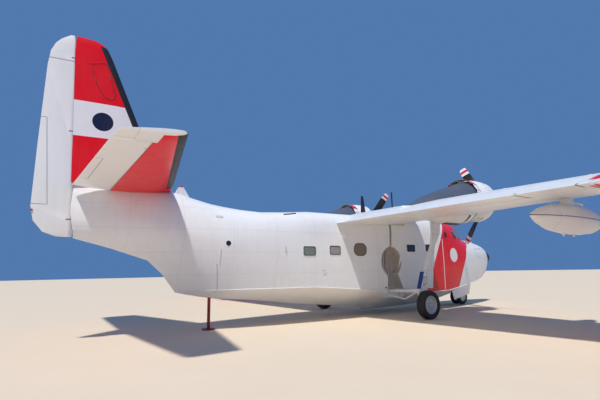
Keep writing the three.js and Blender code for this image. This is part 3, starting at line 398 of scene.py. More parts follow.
class Finish:
    """One material under construction: its Principled shader and its place vectors."""

    def __init__(self, name, roughness=0.4, metallic=0.0, coat=0.0, ior=1.5):
        self.material = bpy.data.materials.new(name)
        self.material.use_nodes = True
        tree = self.material.node_tree
        self.net = Net(tree)
        self.shader = next(node for node in tree.nodes if node.type == "BSDF_PRINCIPLED")
        self.shader.inputs["Roughness"].default_value = roughness
        self.shader.inputs["Metallic"].default_value = metallic
        self.shader.inputs["Coat Weight"].default_value = coat
        self.shader.inputs["IOR"].default_value = ior
        self.place = self.net.node("ShaderNodeTexCoord").outputs["Object"]
        x, y, z = self.net.parts(self.place)
        folded = self.net.node("ShaderNodeCombineXYZ")
        for socket, value in zip(folded.inputs, (x, self.net.maths("ABSOLUTE", y), z)):
            self.net.feed(socket, value)
        self.folded = folded.outputs[0]

    def colour(self, value):
        self.net.feed(self.shader.inputs["Base Color"], value)

    def roughness(self, value):
        self.net.feed(self.shader.inputs["Roughness"], value)

    def bump(self, height, distance, strength=1.0):
        made = self.net.node("ShaderNodeBump")
        self.net.feed(made.inputs["Height"], height)
        made.inputs["Distance"].default_value = distance
        made.inputs["Strength"].default_value = strength
        self.net.feed(self.shader.inputs["Normal"], made.outputs[0])


# Masks of the painted zones. Each is a function of a finish, and both sides of the aircraft look the same.


def slab(across, start, end, feather=0.006):
    """Mask of what lies between two planes."""

    def mask(finish):
        return finish.net.group(
            GROUPS["slab"], Vector=finish.folded, Across=across, Start=start, End=end, Feather=feather
        )["Mask"]

    return mask


def tube(centre, along, radius):
    """Mask of what lies within a radius of a line through centre."""
    stretch = tuple(1.0 - share for share in along)

    def mask(finish):
        return finish.net.group(
            GROUPS["spot"],
            Vector=finish.folded,
            Centre=centre,
            Stretch=stretch,
            Radius=radius,
            Feather=0.006,
        )["Mask"]

    return mask


def merged(operation, masks):
    """Several masks made one: MULTIPLY keeps what all cover, MAXIMUM what any covers."""

    def mask(finish):
        made = masks[0](finish)
        for other in masks[1:]:
            made = finish.net.maths(operation, made, other(finish))
        return made

    return mask


def all_of(*masks):
    return merged("MULTIPLY", masks)


def any_of(*masks):
    return merged("MAXIMUM", masks)


def outside(mask):
    return lambda finish: finish.net.maths("SUBTRACT", 1.0, mask(finish))


def line(across, at, half=0.007):
    """Mask of a thin line, by half its width."""
    return slab(across, at - half, at + half)


def inside(x=None, y=None, z=None):
    """Mask of a box, given as ranges; a range left out has no limit."""
    ranges = ((AHEAD, x), (ASIDE, y), (UP, z))
    return all_of(*(slab(axis, *limits) for axis, limits in ranges if limits))


def disc(x, z, radius):
    """Mask of a disc on the aircraft's side."""
    return tube((x, 0.0, z), ASIDE, radius)


def ring(low, high):
    """Mask of what stands between two distances from the engine's axis."""
    hub = (0.0, ENGINE.y, ENGINE.z)
    return all_of(tube(hub, AHEAD, high), outside(tube(hub, AHEAD, low)))


def sector(start, end):
    """Mask between two bearings from the top of the engine, outboard ones above zero, in degrees."""

    def beyond(degrees):
        side, up = math.cos(math.radians(degrees)), -math.sin(math.radians(degrees))
        return slab((0.0, side, up), side * ENGINE.y + up * ENGINE.z, FAR)

    return all_of(beyond(start), outside(beyond(end)))


# The bow band leans forward. Its rear and front edges meet the ground at these places, it widens over
# the deck ahead of the windscreen, and it stops at the chine, which rises forward.
BAND_LEAN = (1.0, 0.0, -0.553)
BAND_REAR, BAND_FRONT = 2.825, 5.13
DECK_FIELD = all_of(
    slab(BAND_LEAN, BAND_REAR, FAR),
    slab((1.0, 0.0, -1.5), -FAR, 2.856),
    inside(x=(0.0, 6.98), z=(2.39, 9.0)),
)
ABOVE_CHINE = slab((-0.045, 0.0, 1.0), 0.53, 9.0)
BOW_BAND = all_of(any_of(slab(BAND_LEAN, BAND_REAR, BAND_FRONT), DECK_FIELD), ABOVE_CHINE)

# Trim tabs: direction across the hinge line, and where the hinge lies along it
RUDDER_TAB = ((1.0, 0.0, 0.078), -8.988)
ELEVATOR_TAB = ((1.0, -0.0193, 0.0), -8.564)


def tab_seams(tab, axis, low, high, limit):
    """Mask of the seams round a trim tab: its hinge line and its two ends."""
    across, hinge = tab
    ends = all_of(any_of(line(axis, low), line(axis, high)), slab(across, -FAR, hinge))
    return any_of(all_of(line(across, hinge), limit), ends)


# Painted zones of each finish, one over the other: colour and mask
ZONES = {
    "hull": (
        ("red", BOW_BAND),
        ("white", inside(x=(4.44, 4.48), z=(0.77, 2.79))),
        ("white", disc(5.255, 2.15, 0.29)),
        ("well", inside(x=(0.8, 2.25), y=(0.5, 1.184), z=(0.9, 3.3))),
        ("well", inside(x=(5.949, 7.331), y=(-1.0, 0.462), z=(0.2, 1.51))),
        ("seam", all_of(line((1.0, 0.0, 0.185), -4.823), inside(z=(1.04, 1.85)))),
    ),
    "fin": (("white", slab((-0.04, 0.0, 1.0), 5.462, 6.414)), ("navy", disc(-8.17, 5.585, 0.255))),
    "rudder": (
        ("seam", any_of(tab_seams(RUDDER_TAB, UP, 3.3, 5.487, inside(z=(3.3, 5.49))), line(UP, 7.1, 0.01))),
    ),
    "elevator": (("seam", tab_seams(ELEVATOR_TAB, ASIDE, 1.1, 2.95, inside(y=(1.1, 2.95)))),),
    "stabilizer": (
        ("red", any_of(inside(x=(-7.84, 0.0), y=(4.2, 4.66)), inside(x=(-8.0, 0.0), y=(-1.0, 4.28)))),
    ),
    "wing": (
        ("red", all_of(inside(y=(8.2, FAR)), slab((1.0, -0.0404, 0.0), -0.83, FAR))),
        (
            "black",
            any_of(
                inside(x=(-0.83, -0.12), y=(6.87, 6.93), z=(3.0, 3.21)),
                inside(x=(-0.84, -0.41), y=(8.09, 8.13), z=(3.0, 3.21)),
            ),
        ),
    ),
    "nacelle": (
        ("slate", inside(z=(3.55, 9.0))),
        # Painted light: black painted as shade in two gaps round the cowl flaps, low on the side, and a
        # painted shadow in a strip along the nacelle's underside
        (
            "black",
            any_of(
                inside(x=(2.675, 2.805), z=(3.0, 3.37)),
                inside(x=(3.08, 3.16), z=(3.0, 3.45)),
                all_of(inside(x=(1.9, 2.7)), slab(UP, 3.0, 3.112, 0.02)),
            ),
        ),
    ),
    "cowl": (
        # Painted shade: two black rings low on the cowl stand for the shade in its gaps
        ("black", all_of(any_of(line(AHEAD, 3.58, 0.035), line(AHEAD, 3.76, 0.03)), inside(z=(3.0, 3.36)))),
    ),
    "gills": (("stain", sector(-30, 30)), ("red", any_of(sector(-50, -30), sector(30, 50)))),
    "tank": (("seam", line(UP, 2.745, 0.012)),),
    "propeller": (("white", ring(1.41, 1.8)), ("red", ring(1.51, 1.61))),
}


def painted(key, name, base, grid, grime=0.16, roughness=0.34, seams=0.45):
    """Sprayed paint on riveted sheet, over which the zones of this key are painted."""
    finish = Finish(name, coat=0.12, ior=1.38)
    net = finish.net
    weather = net.group(GROUPS["weather"], Vector=finish.place, Scale=1.0, Streaks=0.5)
    lines = net.group(
        GROUPS["seams"],
        Vector=finish.place,
        Pitch=grid,
        Width=sizes().seam_width,
        Rivet_pitch=sizes().rivet_pitch,
    )
    shade = tuple(base)
    for zone, mask in ZONES.get(key, ()):
        shade = net.mix(mask(finish), shade, tuple(getattr(colours(), zone)))
    worn = net.mix(net.maths("MULTIPLY", weather["Grime"], grime), shade, tuple(colours().grime))
    lined = net.mix(net.maths("MULTIPLY", lines["Seam"], seams), worn, tuple(colours().seam))
    finish.colour(lined)
    finish.roughness(net.scaled(weather["Patches"], roughness - 0.08, roughness + 0.12))
    height = net.maths("SUBTRACT", net.maths("MULTIPLY", lines["Rivets"], 0.35), lines["Seam"])
    height = net.maths("ADD", height, net.maths("MULTIPLY", weather["Dents"], 2.6))
    finish.bump(height, 0.003, 0.6)
    return finish.material


def dusty(name, base, dust, dirt, rough, scale, streaks, grain=0.0, **shader):
    """A plain finish under a film of dust, rough between two values, with a fine grain of a set depth."""
    finish = Finish(name, **shader)
    net = finish.net
    weather = net.group(GROUPS["weather"], Vector=finish.place, Scale=scale, Streaks=streaks)
    finish.colour(net.mix(net.maths("MULTIPLY", weather["Grime"], dirt), tuple(base), tuple(dust)))
    finish.roughness(net.scaled(weather["Patches"], *rough))
    if grain:
        finish.bump(weather["Grain"], grain, 0.5)
    return finish.material


def metal(name, base, roughness=0.38, dirt=0.35):
    """Bare or dull metal."""
    rough = (roughness - 0.1, roughness + 0.2)
    return dusty(name, base, colours().grime, dirt, rough, 6.0, 0.4, grain=0.0006, metallic=0.85)


def matt(name, base, roughness=0.62, dirt=0.18, scale=2.0):
    """Matt paint or rubberised fabric."""
    rough = (roughness - 0.1, roughness + 0.15)
    return dusty(name, base, colours().grime, dirt, rough, scale, 0.6, grain=0.0008)


def pane(name, base):
    """Window pane of a given colour, with a clean outer face and faint haze; on the mauve and brown panes
    that colour is a painted reflection.
    """
    return dusty(name, base, colours().haze, 0.12, (0.05, 0.16), 3.0, 0.8, roughness=0.08, coat=0.2)


def rubber(name, base):
    """Tyre rubber with dust."""
    finish = Finish(name)
    net = finish.net
    dust = net.group(GROUPS["rubber"], Vector=finish.place, Scale=9.0)
    finish.colour(net.mix(net.maths("MULTIPLY", dust["Dust"], 0.16), tuple(base), tuple(colours().grime)))
    finish.roughness(net.scaled(dust["Dust"], 0.72, 0.95))
    finish.bump(dust["Grain"], 0.0006, 0.6)
    return finish.material


# Distances between seams along x, y and z
BODY_GRID = (1.35, 0.9, 0.62)
WING_GRID = (1.1, 1.25, 5.0)
TANK_GRID = (0.9, 50.0, 50.0)
NO_GRID = (50.0, 50.0, 50.0)

# Sprayed finishes: name, base colour, grid, and what differs from the common paint
PAINTS = {
    "white": ("White paint", "white", BODY_GRID, {}),
    "wing": ("Wing paint", "white", WING_GRID, {}),
    "cowl": ("Cowl paint", "white", BODY_GRID, {"seams": 0.0}),
    "nacelle": ("Nacelle paint", "white", BODY_GRID, {"grime": 0.12, "roughness": 0.52}),
    "stabilizer": ("Tailplane paint", "white", WING_GRID, {}),
    "elevator": ("Elevator paint", "white", NO_GRID, {}),
    "rudder": ("Rudder paint", "white", NO_GRID, {}),
    "fin": ("Fin paint", "red", NO_GRID, {"grime": 0.06}),
    "propeller": ("Blade paint", "black", NO_GRID, {"grime": 0.08}),
    "gills": ("Cowl flap paint", "white", NO_GRID, {"grime": 0.3}),
    "tank": ("Tank paint", "white", TANK_GRID, {}),
}

# Matt finishes: name, roughness, share of dirt and scale of the dirt
MATT = {
    "well": ("Well primer", 0.6, 0.3, 4.0),
    "blue": ("Blue cover", 0.45, 0.08, 5.0),
    "grey": ("Grey fittings", 0.5, 0.2, 6.0),
    "black": ("Matt black", 0.6, 0.12, 2.0),
    "boot": ("Boot rubber", 0.5, 0.04, 3.0),
    "post": ("Post paint", 0.55, 0.25, 4.0),
}

# Metal finishes: name, roughness and share of dirt
METAL = {
    "steel": ("Dull steel", 0.38, 0.35),
    "dark_steel": ("Dark steel", 0.5, 0.35),
    "chrome": ("Polished sleeve", 0.16, 0.1),
    "alloy": ("Painted alloy", 0.42, 0.25),
    "brass": ("Brass fittings", 0.4, 0.3),
}

GLASS = ("dark_glass", "green_glass", "mauve_glass", "brown_glass", "red_lamp", "green_lamp")

MATERIALS = {}


class BOAT_OT_finishes(bpy.types.Operator):
    """Makes the shared node groups and every material"""

    bl_idname = "boat.finishes"
    bl_label = "Finishes"

    def execute(self, context):
        paint = colours()
        GROUPS["slab"] = slab_group()
        GROUPS["spot"] = spot_group()
        GROUPS["seams"] = seams_group()
        GROUPS["weather"] = weather_group()
        GROUPS["rubber"] = rubber_group()
        hull_grid = (sizes().frame_pitch, 0.8, sizes().strake_pitch)
        MATERIALS["hull"] = painted("hull", "Hull paint", paint.white, hull_grid, seams=0.2)
        for key, (name, base, grid, settings) in PAINTS.items():
            MATERIALS[key] = painted(key, name, getattr(paint, base), grid, **settings)
        for make, table in ((matt, MATT), (metal, METAL)):
            for key, (name, *settings) in table.items():
                MATERIALS[key] = make(name, getattr(paint, key), *settings)
        for key in GLASS:
            MATERIALS[key] = pane(key.replace("_", " "), getattr(paint, key))
        MATERIALS["rubber"] = rubber("Tyre rubber", paint.rubber)
        return {"FINISHED"}


# Modelling helpers

MERGE = 0.00005  # corners nearer than this are made one
MIRROR = Matrix.Diagonal((1, -1, 1, 1))
CORNER_TURNS = [math.radians(angle) for angle in (15, 35, 55, 75)]


def pick(*pieces):
    """Selects these pieces alone, the first of them active, in object mode."""
    if bpy.context.object and bpy.context.object.mode != "OBJECT":
        bpy.ops.object.mode_set(mode="OBJECT")
    bpy.ops.object.select_all(action="DESELECT")
    for piece in pieces:
        piece.select_set(True)
    bpy.context.view_layer.objects.active = pieces[0]


def edit(piece, kind="FACE", everything=False):
    """Opens a piece for editing with all of it selected, or none."""
    pick(piece)
    bpy.ops.object.mode_set(mode="EDIT")
    bpy.ops.mesh.select_mode(type=kind)
    bpy.ops.mesh.select_all(action="SELECT" if everything else "DESELECT")


def choose(piece, kind, test):
    """Opens a piece for editing and selects the corners, edges or faces that pass the test."""
    edit(piece, kind)
    mesh = bmesh.from_edit_mesh(piece.data)
    for item in {"VERT": mesh.verts, "EDGE": mesh.edges, "FACE": mesh.faces}[kind]:
        if test(item):
            item.select_set(True)
    bmesh.update_edit_mesh(piece.data)


def leave():
    bpy.ops.object.mode_set(mode="OBJECT")


def merge_doubles(piece):
    """Opens a piece for editing and merges its doubled corners."""
    edit(piece, "VERT", everything=True)
    bpy.ops.mesh.remove_doubles(threshold=MERGE)


def closed(piece):
    """Merges doubled corners and turns every face outwards."""
    merge_doubles(piece)
    bpy.ops.mesh.normals_make_consistent(inside=False)
    leave()
    return piece


def settle(piece):
    """Puts a piece's place, turn and scale into its mesh."""
    pick(piece)
    bpy.ops.object.transform_apply(location=True, rotation=True, scale=True)
    return piece


def modified(piece, kind, **settings):
    """Adds one modifier with these settings and applies it."""
    pick(piece)
    modifier = piece.modifiers.new(kind.title(), kind)
    for name, value in settings.items():
        setattr(modifier, name, value)
    bpy.ops.object.modifier_apply(modifier=modifier.name)
    return piece


def rounded(piece, width, segments=2):
    """Rounds the steep edges of a piece."""
    return modified(
        piece, "BEVEL", width=width, segments=segments, limit_method="ANGLE", angle_limit=math.radians(40)
    )


def thick(piece, thickness, side=1):
    """Gives a sheet its thickness, outwards at side 1 and inwards at side -1."""
    return modified(piece, "SOLIDIFY", thickness=thickness, offset=side, use_even_offset=True)


def smoothed(piece):
    """Smooth shading across flat edges, sharp across steep ones."""
    pick(piece)
    bpy.ops.object.shade_smooth_by_angle(angle=sizes().smooth_angle)
    return piece


def aimed(start, toward):
    """Matrix that puts the origin at start and turns +Z towards a direction."""
    turn = Vector(toward).to_track_quat("Z", "Y").to_matrix().to_4x4()
    return Matrix.Translation(Vector(start)) @ turn


def block(low, high, edge=0.008, segments=2):
    """A box between two corners, with rounded edges."""
    low, high = Vector(low), Vector(high)
    bpy.ops.mesh.primitive_cube_add(size=1, location=(low + high) / 2, scale=high - low)
    return rounded(settle(bpy.context.object), edge, segments)


def bar(start, end, wide, deep, edge=0.006):
    """A flat bar from point to point, with rounded edges."""
    start, end = Vector(start), Vector(end)
    long = (end - start).length
    piece = block((-wide / 2, -deep / 2, 0), (wide / 2, deep / 2, long), edge)
    piece.data.transform(aimed(start, end - start))
    return piece


def rod(start, end, radius, sides=16, end_radius=None, edge=0.004):
    """A straight or tapering rod from point to point, with rounded ends."""
    start, end = Vector(start), Vector(end)
    last = radius if end_radius is None else end_radius
    long = (end - start).length
    bpy.ops.mesh.primitive_cone_add(
        vertices=sides, radius1=radius, radius2=last, depth=long, location=(0, 0, long / 2)
    )
    piece = rounded(settle(bpy.context.object), edge)
    piece.data.transform(aimed(start, end - start))
    return piece


def wire(points):
    """A chain of edges through these points, left open for editing."""
    bpy.ops.object.select_all(action="DESELECT")
    bpy.ops.mesh.primitive_plane_add(size=1)
    piece = bpy.context.object
    edit(piece, "VERT", everything=True)
    bpy.ops.mesh.merge(type="CENTER")
    bpy.ops.transform.translate(value=Vector(points[0]))
    for start, end in zip(points, points[1:]):
        bpy.ops.mesh.extrude_vertices_move(TRANSFORM_OT_translate={"value": Vector(end) - Vector(start)})
    return piece


def lathe(profile, steps, place=(0, 0, 0), toward=(0, 0, 1)):
    """Spins a profile of (radius, height) points about a line through place."""
    piece = wire([(radius, 0, height) for radius, height in profile])
    bpy.ops.mesh.select_all(action="SELECT")
    bpy.ops.mesh.spin(steps=steps, angle=math.tau, center=(0, 0, 0), axis=(0, 0, 1))
    leave()
    closed(piece)
    piece.data.transform(aimed(place, toward))
    return piece


def hoop(section, steps, place, toward):
    """Spins a closed section of (radius, height) points about a line through place."""
    return lathe([*section, section[0]], steps, place, toward)


def pipe(points, radius, bend=0.0, sides=4):
    """A round pipe along these points, its corners rounded by a bend length."""
    piece = wire(points)
    if bend:
        bpy.ops.mesh.select_all(action="SELECT")
        bpy.ops.mesh.bevel(offset=bend, affect="VERTICES", segments=4)
    leave()
    return swept(piece, radius, sides)


def swept(piece, radius, sides=4):
    """Turns a chain of edges into a round bar."""
    pick(piece)
    bpy.ops.object.convert(target="CURVE")
    curve = bpy.context.object
    curve.data.bevel_depth = radius
    curve.data.bevel_resolution = sides
    curve.data.use_fill_caps = True
    bpy.ops.object.convert(target="MESH")
    return closed(bpy.context.object)


def moved(piece, matrix):
    """Moves a piece's mesh by a matrix; a mirrored one is turned the right way out again."""
    piece.data.transform(matrix)
    if matrix.determinant() < 0:
        piece.data.flip_normals()
    return piece


def copied(piece, matrix):
    """A copy with a mesh of its own, moved by a matrix."""
    twin = piece.copy()
    twin.data = piece.data.copy()
    bpy.context.scene.collection.objects.link(twin)
    return moved(twin, matrix)


def joined(pieces):
    """One mesh of many pieces."""
    pick(*pieces)
    bpy.ops.object.join()
    return bpy.context.object


def turned(angle, place, axis):
    """Matrix of a turn about an axis through place."""
    around = Matrix.Translation(Vector(place))
    return around @ Matrix.Rotation(angle, 4, Vector(axis)) @ around.inverted()


def spread(piece, count, place, axis, total=math.tau):
    """The piece and its copies, turned in equal steps about an axis, as one mesh."""
    copies = [copied(piece, turned(total * step / count, place, axis)) for step in range(1, count)]
    return joined([piece, *copies])


def dressed(piece, name, finish, body="airframe", nodes=()):
    """Names a finished piece, gives it its material, and hands it to its body."""
    smoothed(piece)
    piece.name = name
    piece.data.name = name
    piece.data.materials.clear()
    piece.data.materials.append(MATERIALS[finish])
    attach(piece, body)
    if nodes:
        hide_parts(*nodes)
    return piece


def both_sides(piece, name, finish, body="airframe", nodes=()):
    """Dresses a piece of the left side and its mirror image; a pair of braces stands for the side."""
    right = copied(piece, MIRROR)
    for side, model in (("left", piece), ("right", right)):
        stands_for = [node.format(side) for node in nodes]
        dressed(model, name.format(side), finish, body.format(side), stands_for)


def copied_node(node):
    """A merged copy of a CAD node's mesh, at the origin."""
    source = frame["nodes"][node]
    piece = bpy.data.objects.new("copy", source.data.copy())
    bpy.context.scene.collection.objects.link(piece)
    merge_doubles(piece)
    bpy.ops.mesh.customdata_custom_splitnormals_clear()
    leave()
    return piece


def cut_back(piece, cuts):
    """Keeps what lies behind every cut, given as (point, outward direction)."""
    for point, outward in cuts:
        edit(piece, everything=True)
        bpy.ops.mesh.bisect(plane_co=point, plane_no=outward, clear_outer=True)
    leave()
    return piece


def slice_of(node, cuts, wanted=None):
    """The part of a node's surface behind every cut whose faces pass the test."""
    piece = cut_back(copied_node(node), cuts)
    if wanted:
        choose(piece, "FACE", lambda face: not wanted(face))
        bpy.ops.mesh.delete(type="FACE")
        leave()
    return piece


def strip_cuts(middle, axis, wide):
    """Cuts that leave a strip of this width across an axis."""
    cuts = []
    for side in (-1, 1):
        point = [at + side * wide / 2 * share for at, share in zip(middle, axis)]
        cuts.append((point, [side * share for share in axis]))
    return cuts


def side_sheet(node, x, z, wide, high, corner):
    """A rectangle with rounded corners out of a node's left side."""
    cuts = strip_cuts((x, 0, z), AHEAD, wide) + strip_cuts((x, 0, z), UP, high)
    for side_x in (-1, 1):
        for side_z in (-1, 1):
            centre = Vector((x + side_x * (wide / 2 - corner), 0, z + side_z * (high / 2 - corner)))
            for turn in CORNER_TURNS:
                outward = Vector((side_x * math.cos(turn), 0, side_z * math.sin(turn)))
                cuts.append((centre + corner * outward, outward))
    return slice_of(node, cuts, lambda face: face.normal.y > 0.25 and face.calc_center_median().y > 0)


def rimmed(sheet, width):
    """Splits a sheet into a rim of this width and what the rim encloses."""
    edit(sheet, everything=True)
    bpy.ops.mesh.inset(thickness=width, use_boundary=True, use_even_offset=True)
    bpy.ops.mesh.separate(type="SELECTED")
    leave()
    return sheet, next(piece for piece in bpy.context.selected_objects if piece != sheet)


SURFACES = {}


def met(node, start, toward):
    """Where a line from start first meets a node's surface, and the surface's direction there."""
    if node not in SURFACES:
        mesh = frame["nodes"][node].data
        corners = [corner.co for corner in mesh.vertices]
        SURFACES[node] = BVHTree.FromPolygons(corners, [face.vertices for face in mesh.polygons])
    place, normal, _, _ = SURFACES[node].ray_cast(Vector(start), Vector(toward))
    if place is None:
        raise ValueError(f"the line from {start} misses {node}")
    return place, normal


def on_top(node, x, y):
    """Point of a node's top, and the surface's direction there."""
    return met(node, (x, y, FAR), (0, 0, -1))


def on_side(node, x, z):
    """Point of a node's left side, and the surface's direction there."""
    return met(node, (x, FAR, z), (0, -1, 0))


# Finishes of the skins: nodes without their side
SKINS = {
    "hull": ("hull", "windscreen", "cabin_door"),
    "black": ("radome", "wire_mast", "blade_aerial"),
    "wing": ("wing_outer", "flap", "aileron"),
    "white": (
        "wing_centre", "wing_float", "float_strut", "tank_pylon", "main_leg", "main_arms", "nose_strut",
        "nose_fork", "nose_door", "beacon_pylon",
    ),
    "nacelle": ("nacelle",),
    "steel": ("engine",),
    "propeller": ("propeller",),
    "fin": ("fin",),
    "rudder": ("rudder",),
    "stabilizer": ("stabilizer",),
    "elevator": ("elevator",),
    "tank": ("drop_tank",),
    "post": ("tail_post",),
}
SKIN_OF = {node: finish for finish, nodes in SKINS.items() for node in nodes}


def family(node):
    """Name of a node without its side."""
    for side in SIDES:
        node = node.removesuffix("_" + side)
    return node


class BOAT_OT_skins(bpy.types.Operator):
    """Gives every CAD node that isn't remade a smooth skin of the same shape in its own finish"""

    bl_idname = "boat.skins"
    bl_label = "Skins"

    def execute(self, context):
        for node, source in frame["nodes"].items():
            kind = family(node)
            if kind in SKIN_OF:
                dressed(copied_node(node), node + "_skin", SKIN_OF[kind], source["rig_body"], [node])
        return {"FINISHED"}


# Windows

# The mauve and brown panes carry painted reflections in their colours
# Panes in the hull's left side: x, z, width, height, corner radius, glass
WINDOWS = (
    (-2.265, 2.216, 0.455, 0.285, 0.055, "green_glass"),
    (-1.25, 2.25, 0.45, 0.29, 0.055, "mauve_glass"),
    (-0.15, 2.29, 0.58, 0.43, 0.2, "brown_glass"),
    (2.455, 2.378, 0.45, 0.265, 0.03, "dark_glass"),
    (3.555, 2.41, 0.45, 0.27, 0.03, "dark_glass"),
    (4.74, 2.975, 0.20, 0.21, 0.05, "dark_glass"),
    (5.64, 3.01, 0.30, 0.31, 0.06, "dark_glass"),
)
DOOR_WINDOW = (-3.86, 2.24, 0.34, 0.27, 0.06)
FRAME_PROUD = 0.006
GASKET_PROUD = 0.012
PANE_PROUD = 0.004
SCREEN_PROUD = 0.006

# Windscreen panes on the left: rear and front bearing from WINDSCREEN_AXIS in degrees, low and high z
WINDSCREEN_PANES = ((68, 82, 2.93, 3.2), (36, 64, 2.915, 3.25), (3, 32, 2.93, 3.32))
WINDSCREEN_AXIS = Vector((5.5, 0, 0))


def window(node, x, z, wide, high, corner):
    """A raised frame, a rubber gasket and a pane, from the outside in."""
    edge = sizes().frame_width
    outline = side_sheet(node, x, z, wide + 2 * edge, high + 2 * edge, corner + edge)
    surround, rest = rimmed(outline, edge)
    bpy.data.objects.remove(rest)
    gasket, glazed = rimmed(side_sheet(node, x, z, wide, high, corner), sizes().gasket_width)
    return thick(surround, FRAME_PROUD), thick(gasket, GASKET_PROUD), thick(glazed, PANE_PROUD)


def outer_glass(face):
    """Test for faces on the outside of the windscreen's left half."""
    middle = face.calc_center_median()
    return middle.y > 0 and face.normal.dot(Vector((middle.x - WINDSCREEN_AXIS.x, middle.y, 0))) > 0.2


def windscreen_pane(rear, front, low, high):
    """A pane between two bearings and two heights."""
    cuts = strip_cuts((0, 0, (low + high) / 2), UP, high - low)
    for bearing, turn in ((front, 1), (rear, -1)):
        angle = math.radians(bearing)
        cuts.append((WINDSCREEN_AXIS, turn * Vector((-math.sin(angle), math.cos(angle), 0))))
    return thick(slice_of("windscreen", cuts, outer_glass), SCREEN_PROUD)


class BOAT_OT_windows(bpy.types.Operator):
    """Hull windows with frames and gaskets, the door's window and the panes of the windscreen"""

    bl_idname = "boat.windows"
    bl_label = "Windows"

    def execute(self, context):
        surrounds, gaskets, panes = [], [], {}
        for *place, glass in WINDOWS:
            surround, gasket, glazed = window("hull", *place)
            surrounds.append(surround)
            gaskets.append(gasket)
            panes.setdefault(glass, []).append(glazed)
        both_sides(joined(surrounds), "window_frames_{}", "hull")
        both_sides(joined(gaskets), "window_gaskets_{}", "black")
        for glass, group in panes.items():
            both_sides(joined(group), glass + "_{}", glass)
        surround, gasket, glazed = window("cabin_door", *DOOR_WINDOW)
        dressed(joined([surround, gasket]), "door_window_frame", "black", "cabin_door")
        dressed(glazed, "door_window_pane", "dark_glass", "cabin_door")
        screens = [windscreen_pane(*row) for row in WINDSCREEN_PANES]
        both_sides(joined(screens), "windscreen_panes_{}", "green_glass", nodes=["windscreen"])
        return {"FINISHED"}


# De-icing boots: node, how far aft of which point they reach, direction aft, further cuts
BOOTS = (
    ("fin", (-7.456, 0, 5.681), (-1, 0, -0.4347), (((0, 0, 7.74), (0, 0, 1)), ((0, 0, 4.2), (0, 0, -1)))),
    (
        "stabilizer_left", (-6.43, 0, 0), (-1, -0.2482, 0),
        (((0, 4.66, 0), (0, 1, 0)), ((0, 0.55, 0), (0, -1, 0))),
    ),
    (
        "wing_outer_left", (2.64, 4.4, 0), (-1, -0.1306, 0),
        (((0, 13.9, 0), (0, 1, 0)), ((0, 4.5, 0), (0, -1, 0))),
    ),
)
BOOT_PROUD = 0.005


class BOAT_OT_boots(bpy.types.Operator):
    """Rubber de-icing boots along the leading edges"""

    bl_idname = "boat.boots"
    bl_label = "De-icing boots"

    def execute(self, context):
        for node, point, aft, cuts in BOOTS:
            sheet = thick(slice_of(node, [(point, aft), *cuts]), BOOT_PROUD)
            if family(node) == node:
                dressed(sheet, node + "_boot", "boot")
            else:
                both_sides(sheet, family(node) + "_boot_{}", "boot")
        return {"FINISHED"}


# Running gear

# The CAD tyres have 22 sides: the round ones' radius, as a share of half their length
WHEEL_ROUNDNESS = 0.98937
MAIN_RIM = 0.285
NOSE_RIM = 0.19

# Left half of a tyre's section: share of its radius, and of half its width. The bead stands on the rim.
BEAD = 0.72
TYRE_SECTION = ((0.74, 0.9), (0.82, 1.0), (0.9, 0.97), (0.955, 0.84), (0.99, 0.62), (1.0, 0.45))
TREAD_GROOVES = (0.36, 0.12)
GROOVE_HALF = 0.022
GROOVE_DEPTH = 0.022

# A rim's section: share of its radius, and of half the tyre's width, from the middle of its outer face
RIM_SECTION = (
    (0.0, 0.72), (0.15, 0.72), (0.2, 0.66), (0.25, 0.5), (0.42, 0.44), (0.5, 0.46), (0.78, 0.5),
    (0.84, 0.62), (0.9, 0.76), (0.97, 0.79), (1.0, 0.78), (1.0, -0.78), (0.9, -0.72), (0.8, -0.6),
    (0.4, -0.5), (0.0, -0.5),
)
# Its bolts and lugs: share of the radius and of half the width where they stand, length, radius, sides,
# and how many there are beyond the count asked for
RIM_BOLTS = ((0.33, 0.44, 0.1, 0.055, 6, 0), (0.64, 0.46, 0.055, 0.075, 14, 2))

# Left main leg: its ends, its collars as (share of the way up, radius), and the ends of its links
LEG_TOP = Vector((2.21, 2.44, 2.6))
LEG_KNEE = Vector((1.25, 2.44, 0.89))
LEG_COLLARS = ((0.27, 0.105), (0.36, 0.094), (0.62, 0.09), (0.93, 0.092))
LINK_ENDS = (0.05, 0.33)
BRAKE_LINE = ((0.93, (0.1, -0.03, 0)), (0.36, (0.12, -0.03, 0)), (0.05, (0.1, -0.02, -0.02)))
BRAKE_END = Vector((1.4, 2.5, 0.62))


def wheel_size(node):
    """Middle, radius and half width of a round tyre that stands on the ground."""
    low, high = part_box(node)
    centre = (low + high) / 2
    centre.z = (high.x - low.x) / 2 * WHEEL_ROUNDNESS
    return centre, centre.z, (high.y - low.y) / 2


def tyre(centre, radius, half, rim_radius):
    """A tyre with round shoulders and ribbed tread."""
    upper = [(rim_radius + 0.001, BEAD * half)]
    upper += [(share * radius, out * half) for share, out in TYRE_SECTION]
    floor = radius * (1 - GROOVE_DEPTH)
    for place in TREAD_GROOVES:
        outer, inner = (place + GROOVE_HALF) * half, (place - GROOVE_HALF) * half
        upper += [(radius, outer), (floor, outer), (floor, inner), (radius, inner)]
    lower = [(distance, -height) for distance, height in reversed(upper)]
    return hoop([*upper, *lower], 72, centre, ASIDE)


def rim(centre, radius, half, bolts):
    """A cast rim with a hub cap and two rings of bolts, its outer face towards +y."""
    pieces = [lathe([(share * radius, out * half) for share, out in RIM_SECTION], 64, centre, ASIDE)]
    for share, out, long, wide, sides, more in RIM_BOLTS:
        start = Vector(centre) + Vector((share * radius, out * half, 0))
        bolt = rod(start, start + Vector((0, long * half, 0)), wide * radius, sides)
        pieces.append(spread(bolt, bolts + more, centre, ASIDE))
    return joined(pieces)


def on_leg(share):
    """Point of the left main leg, this share of the way up from its knee."""
    return LEG_KNEE + share * (LEG_TOP - LEG_KNEE)


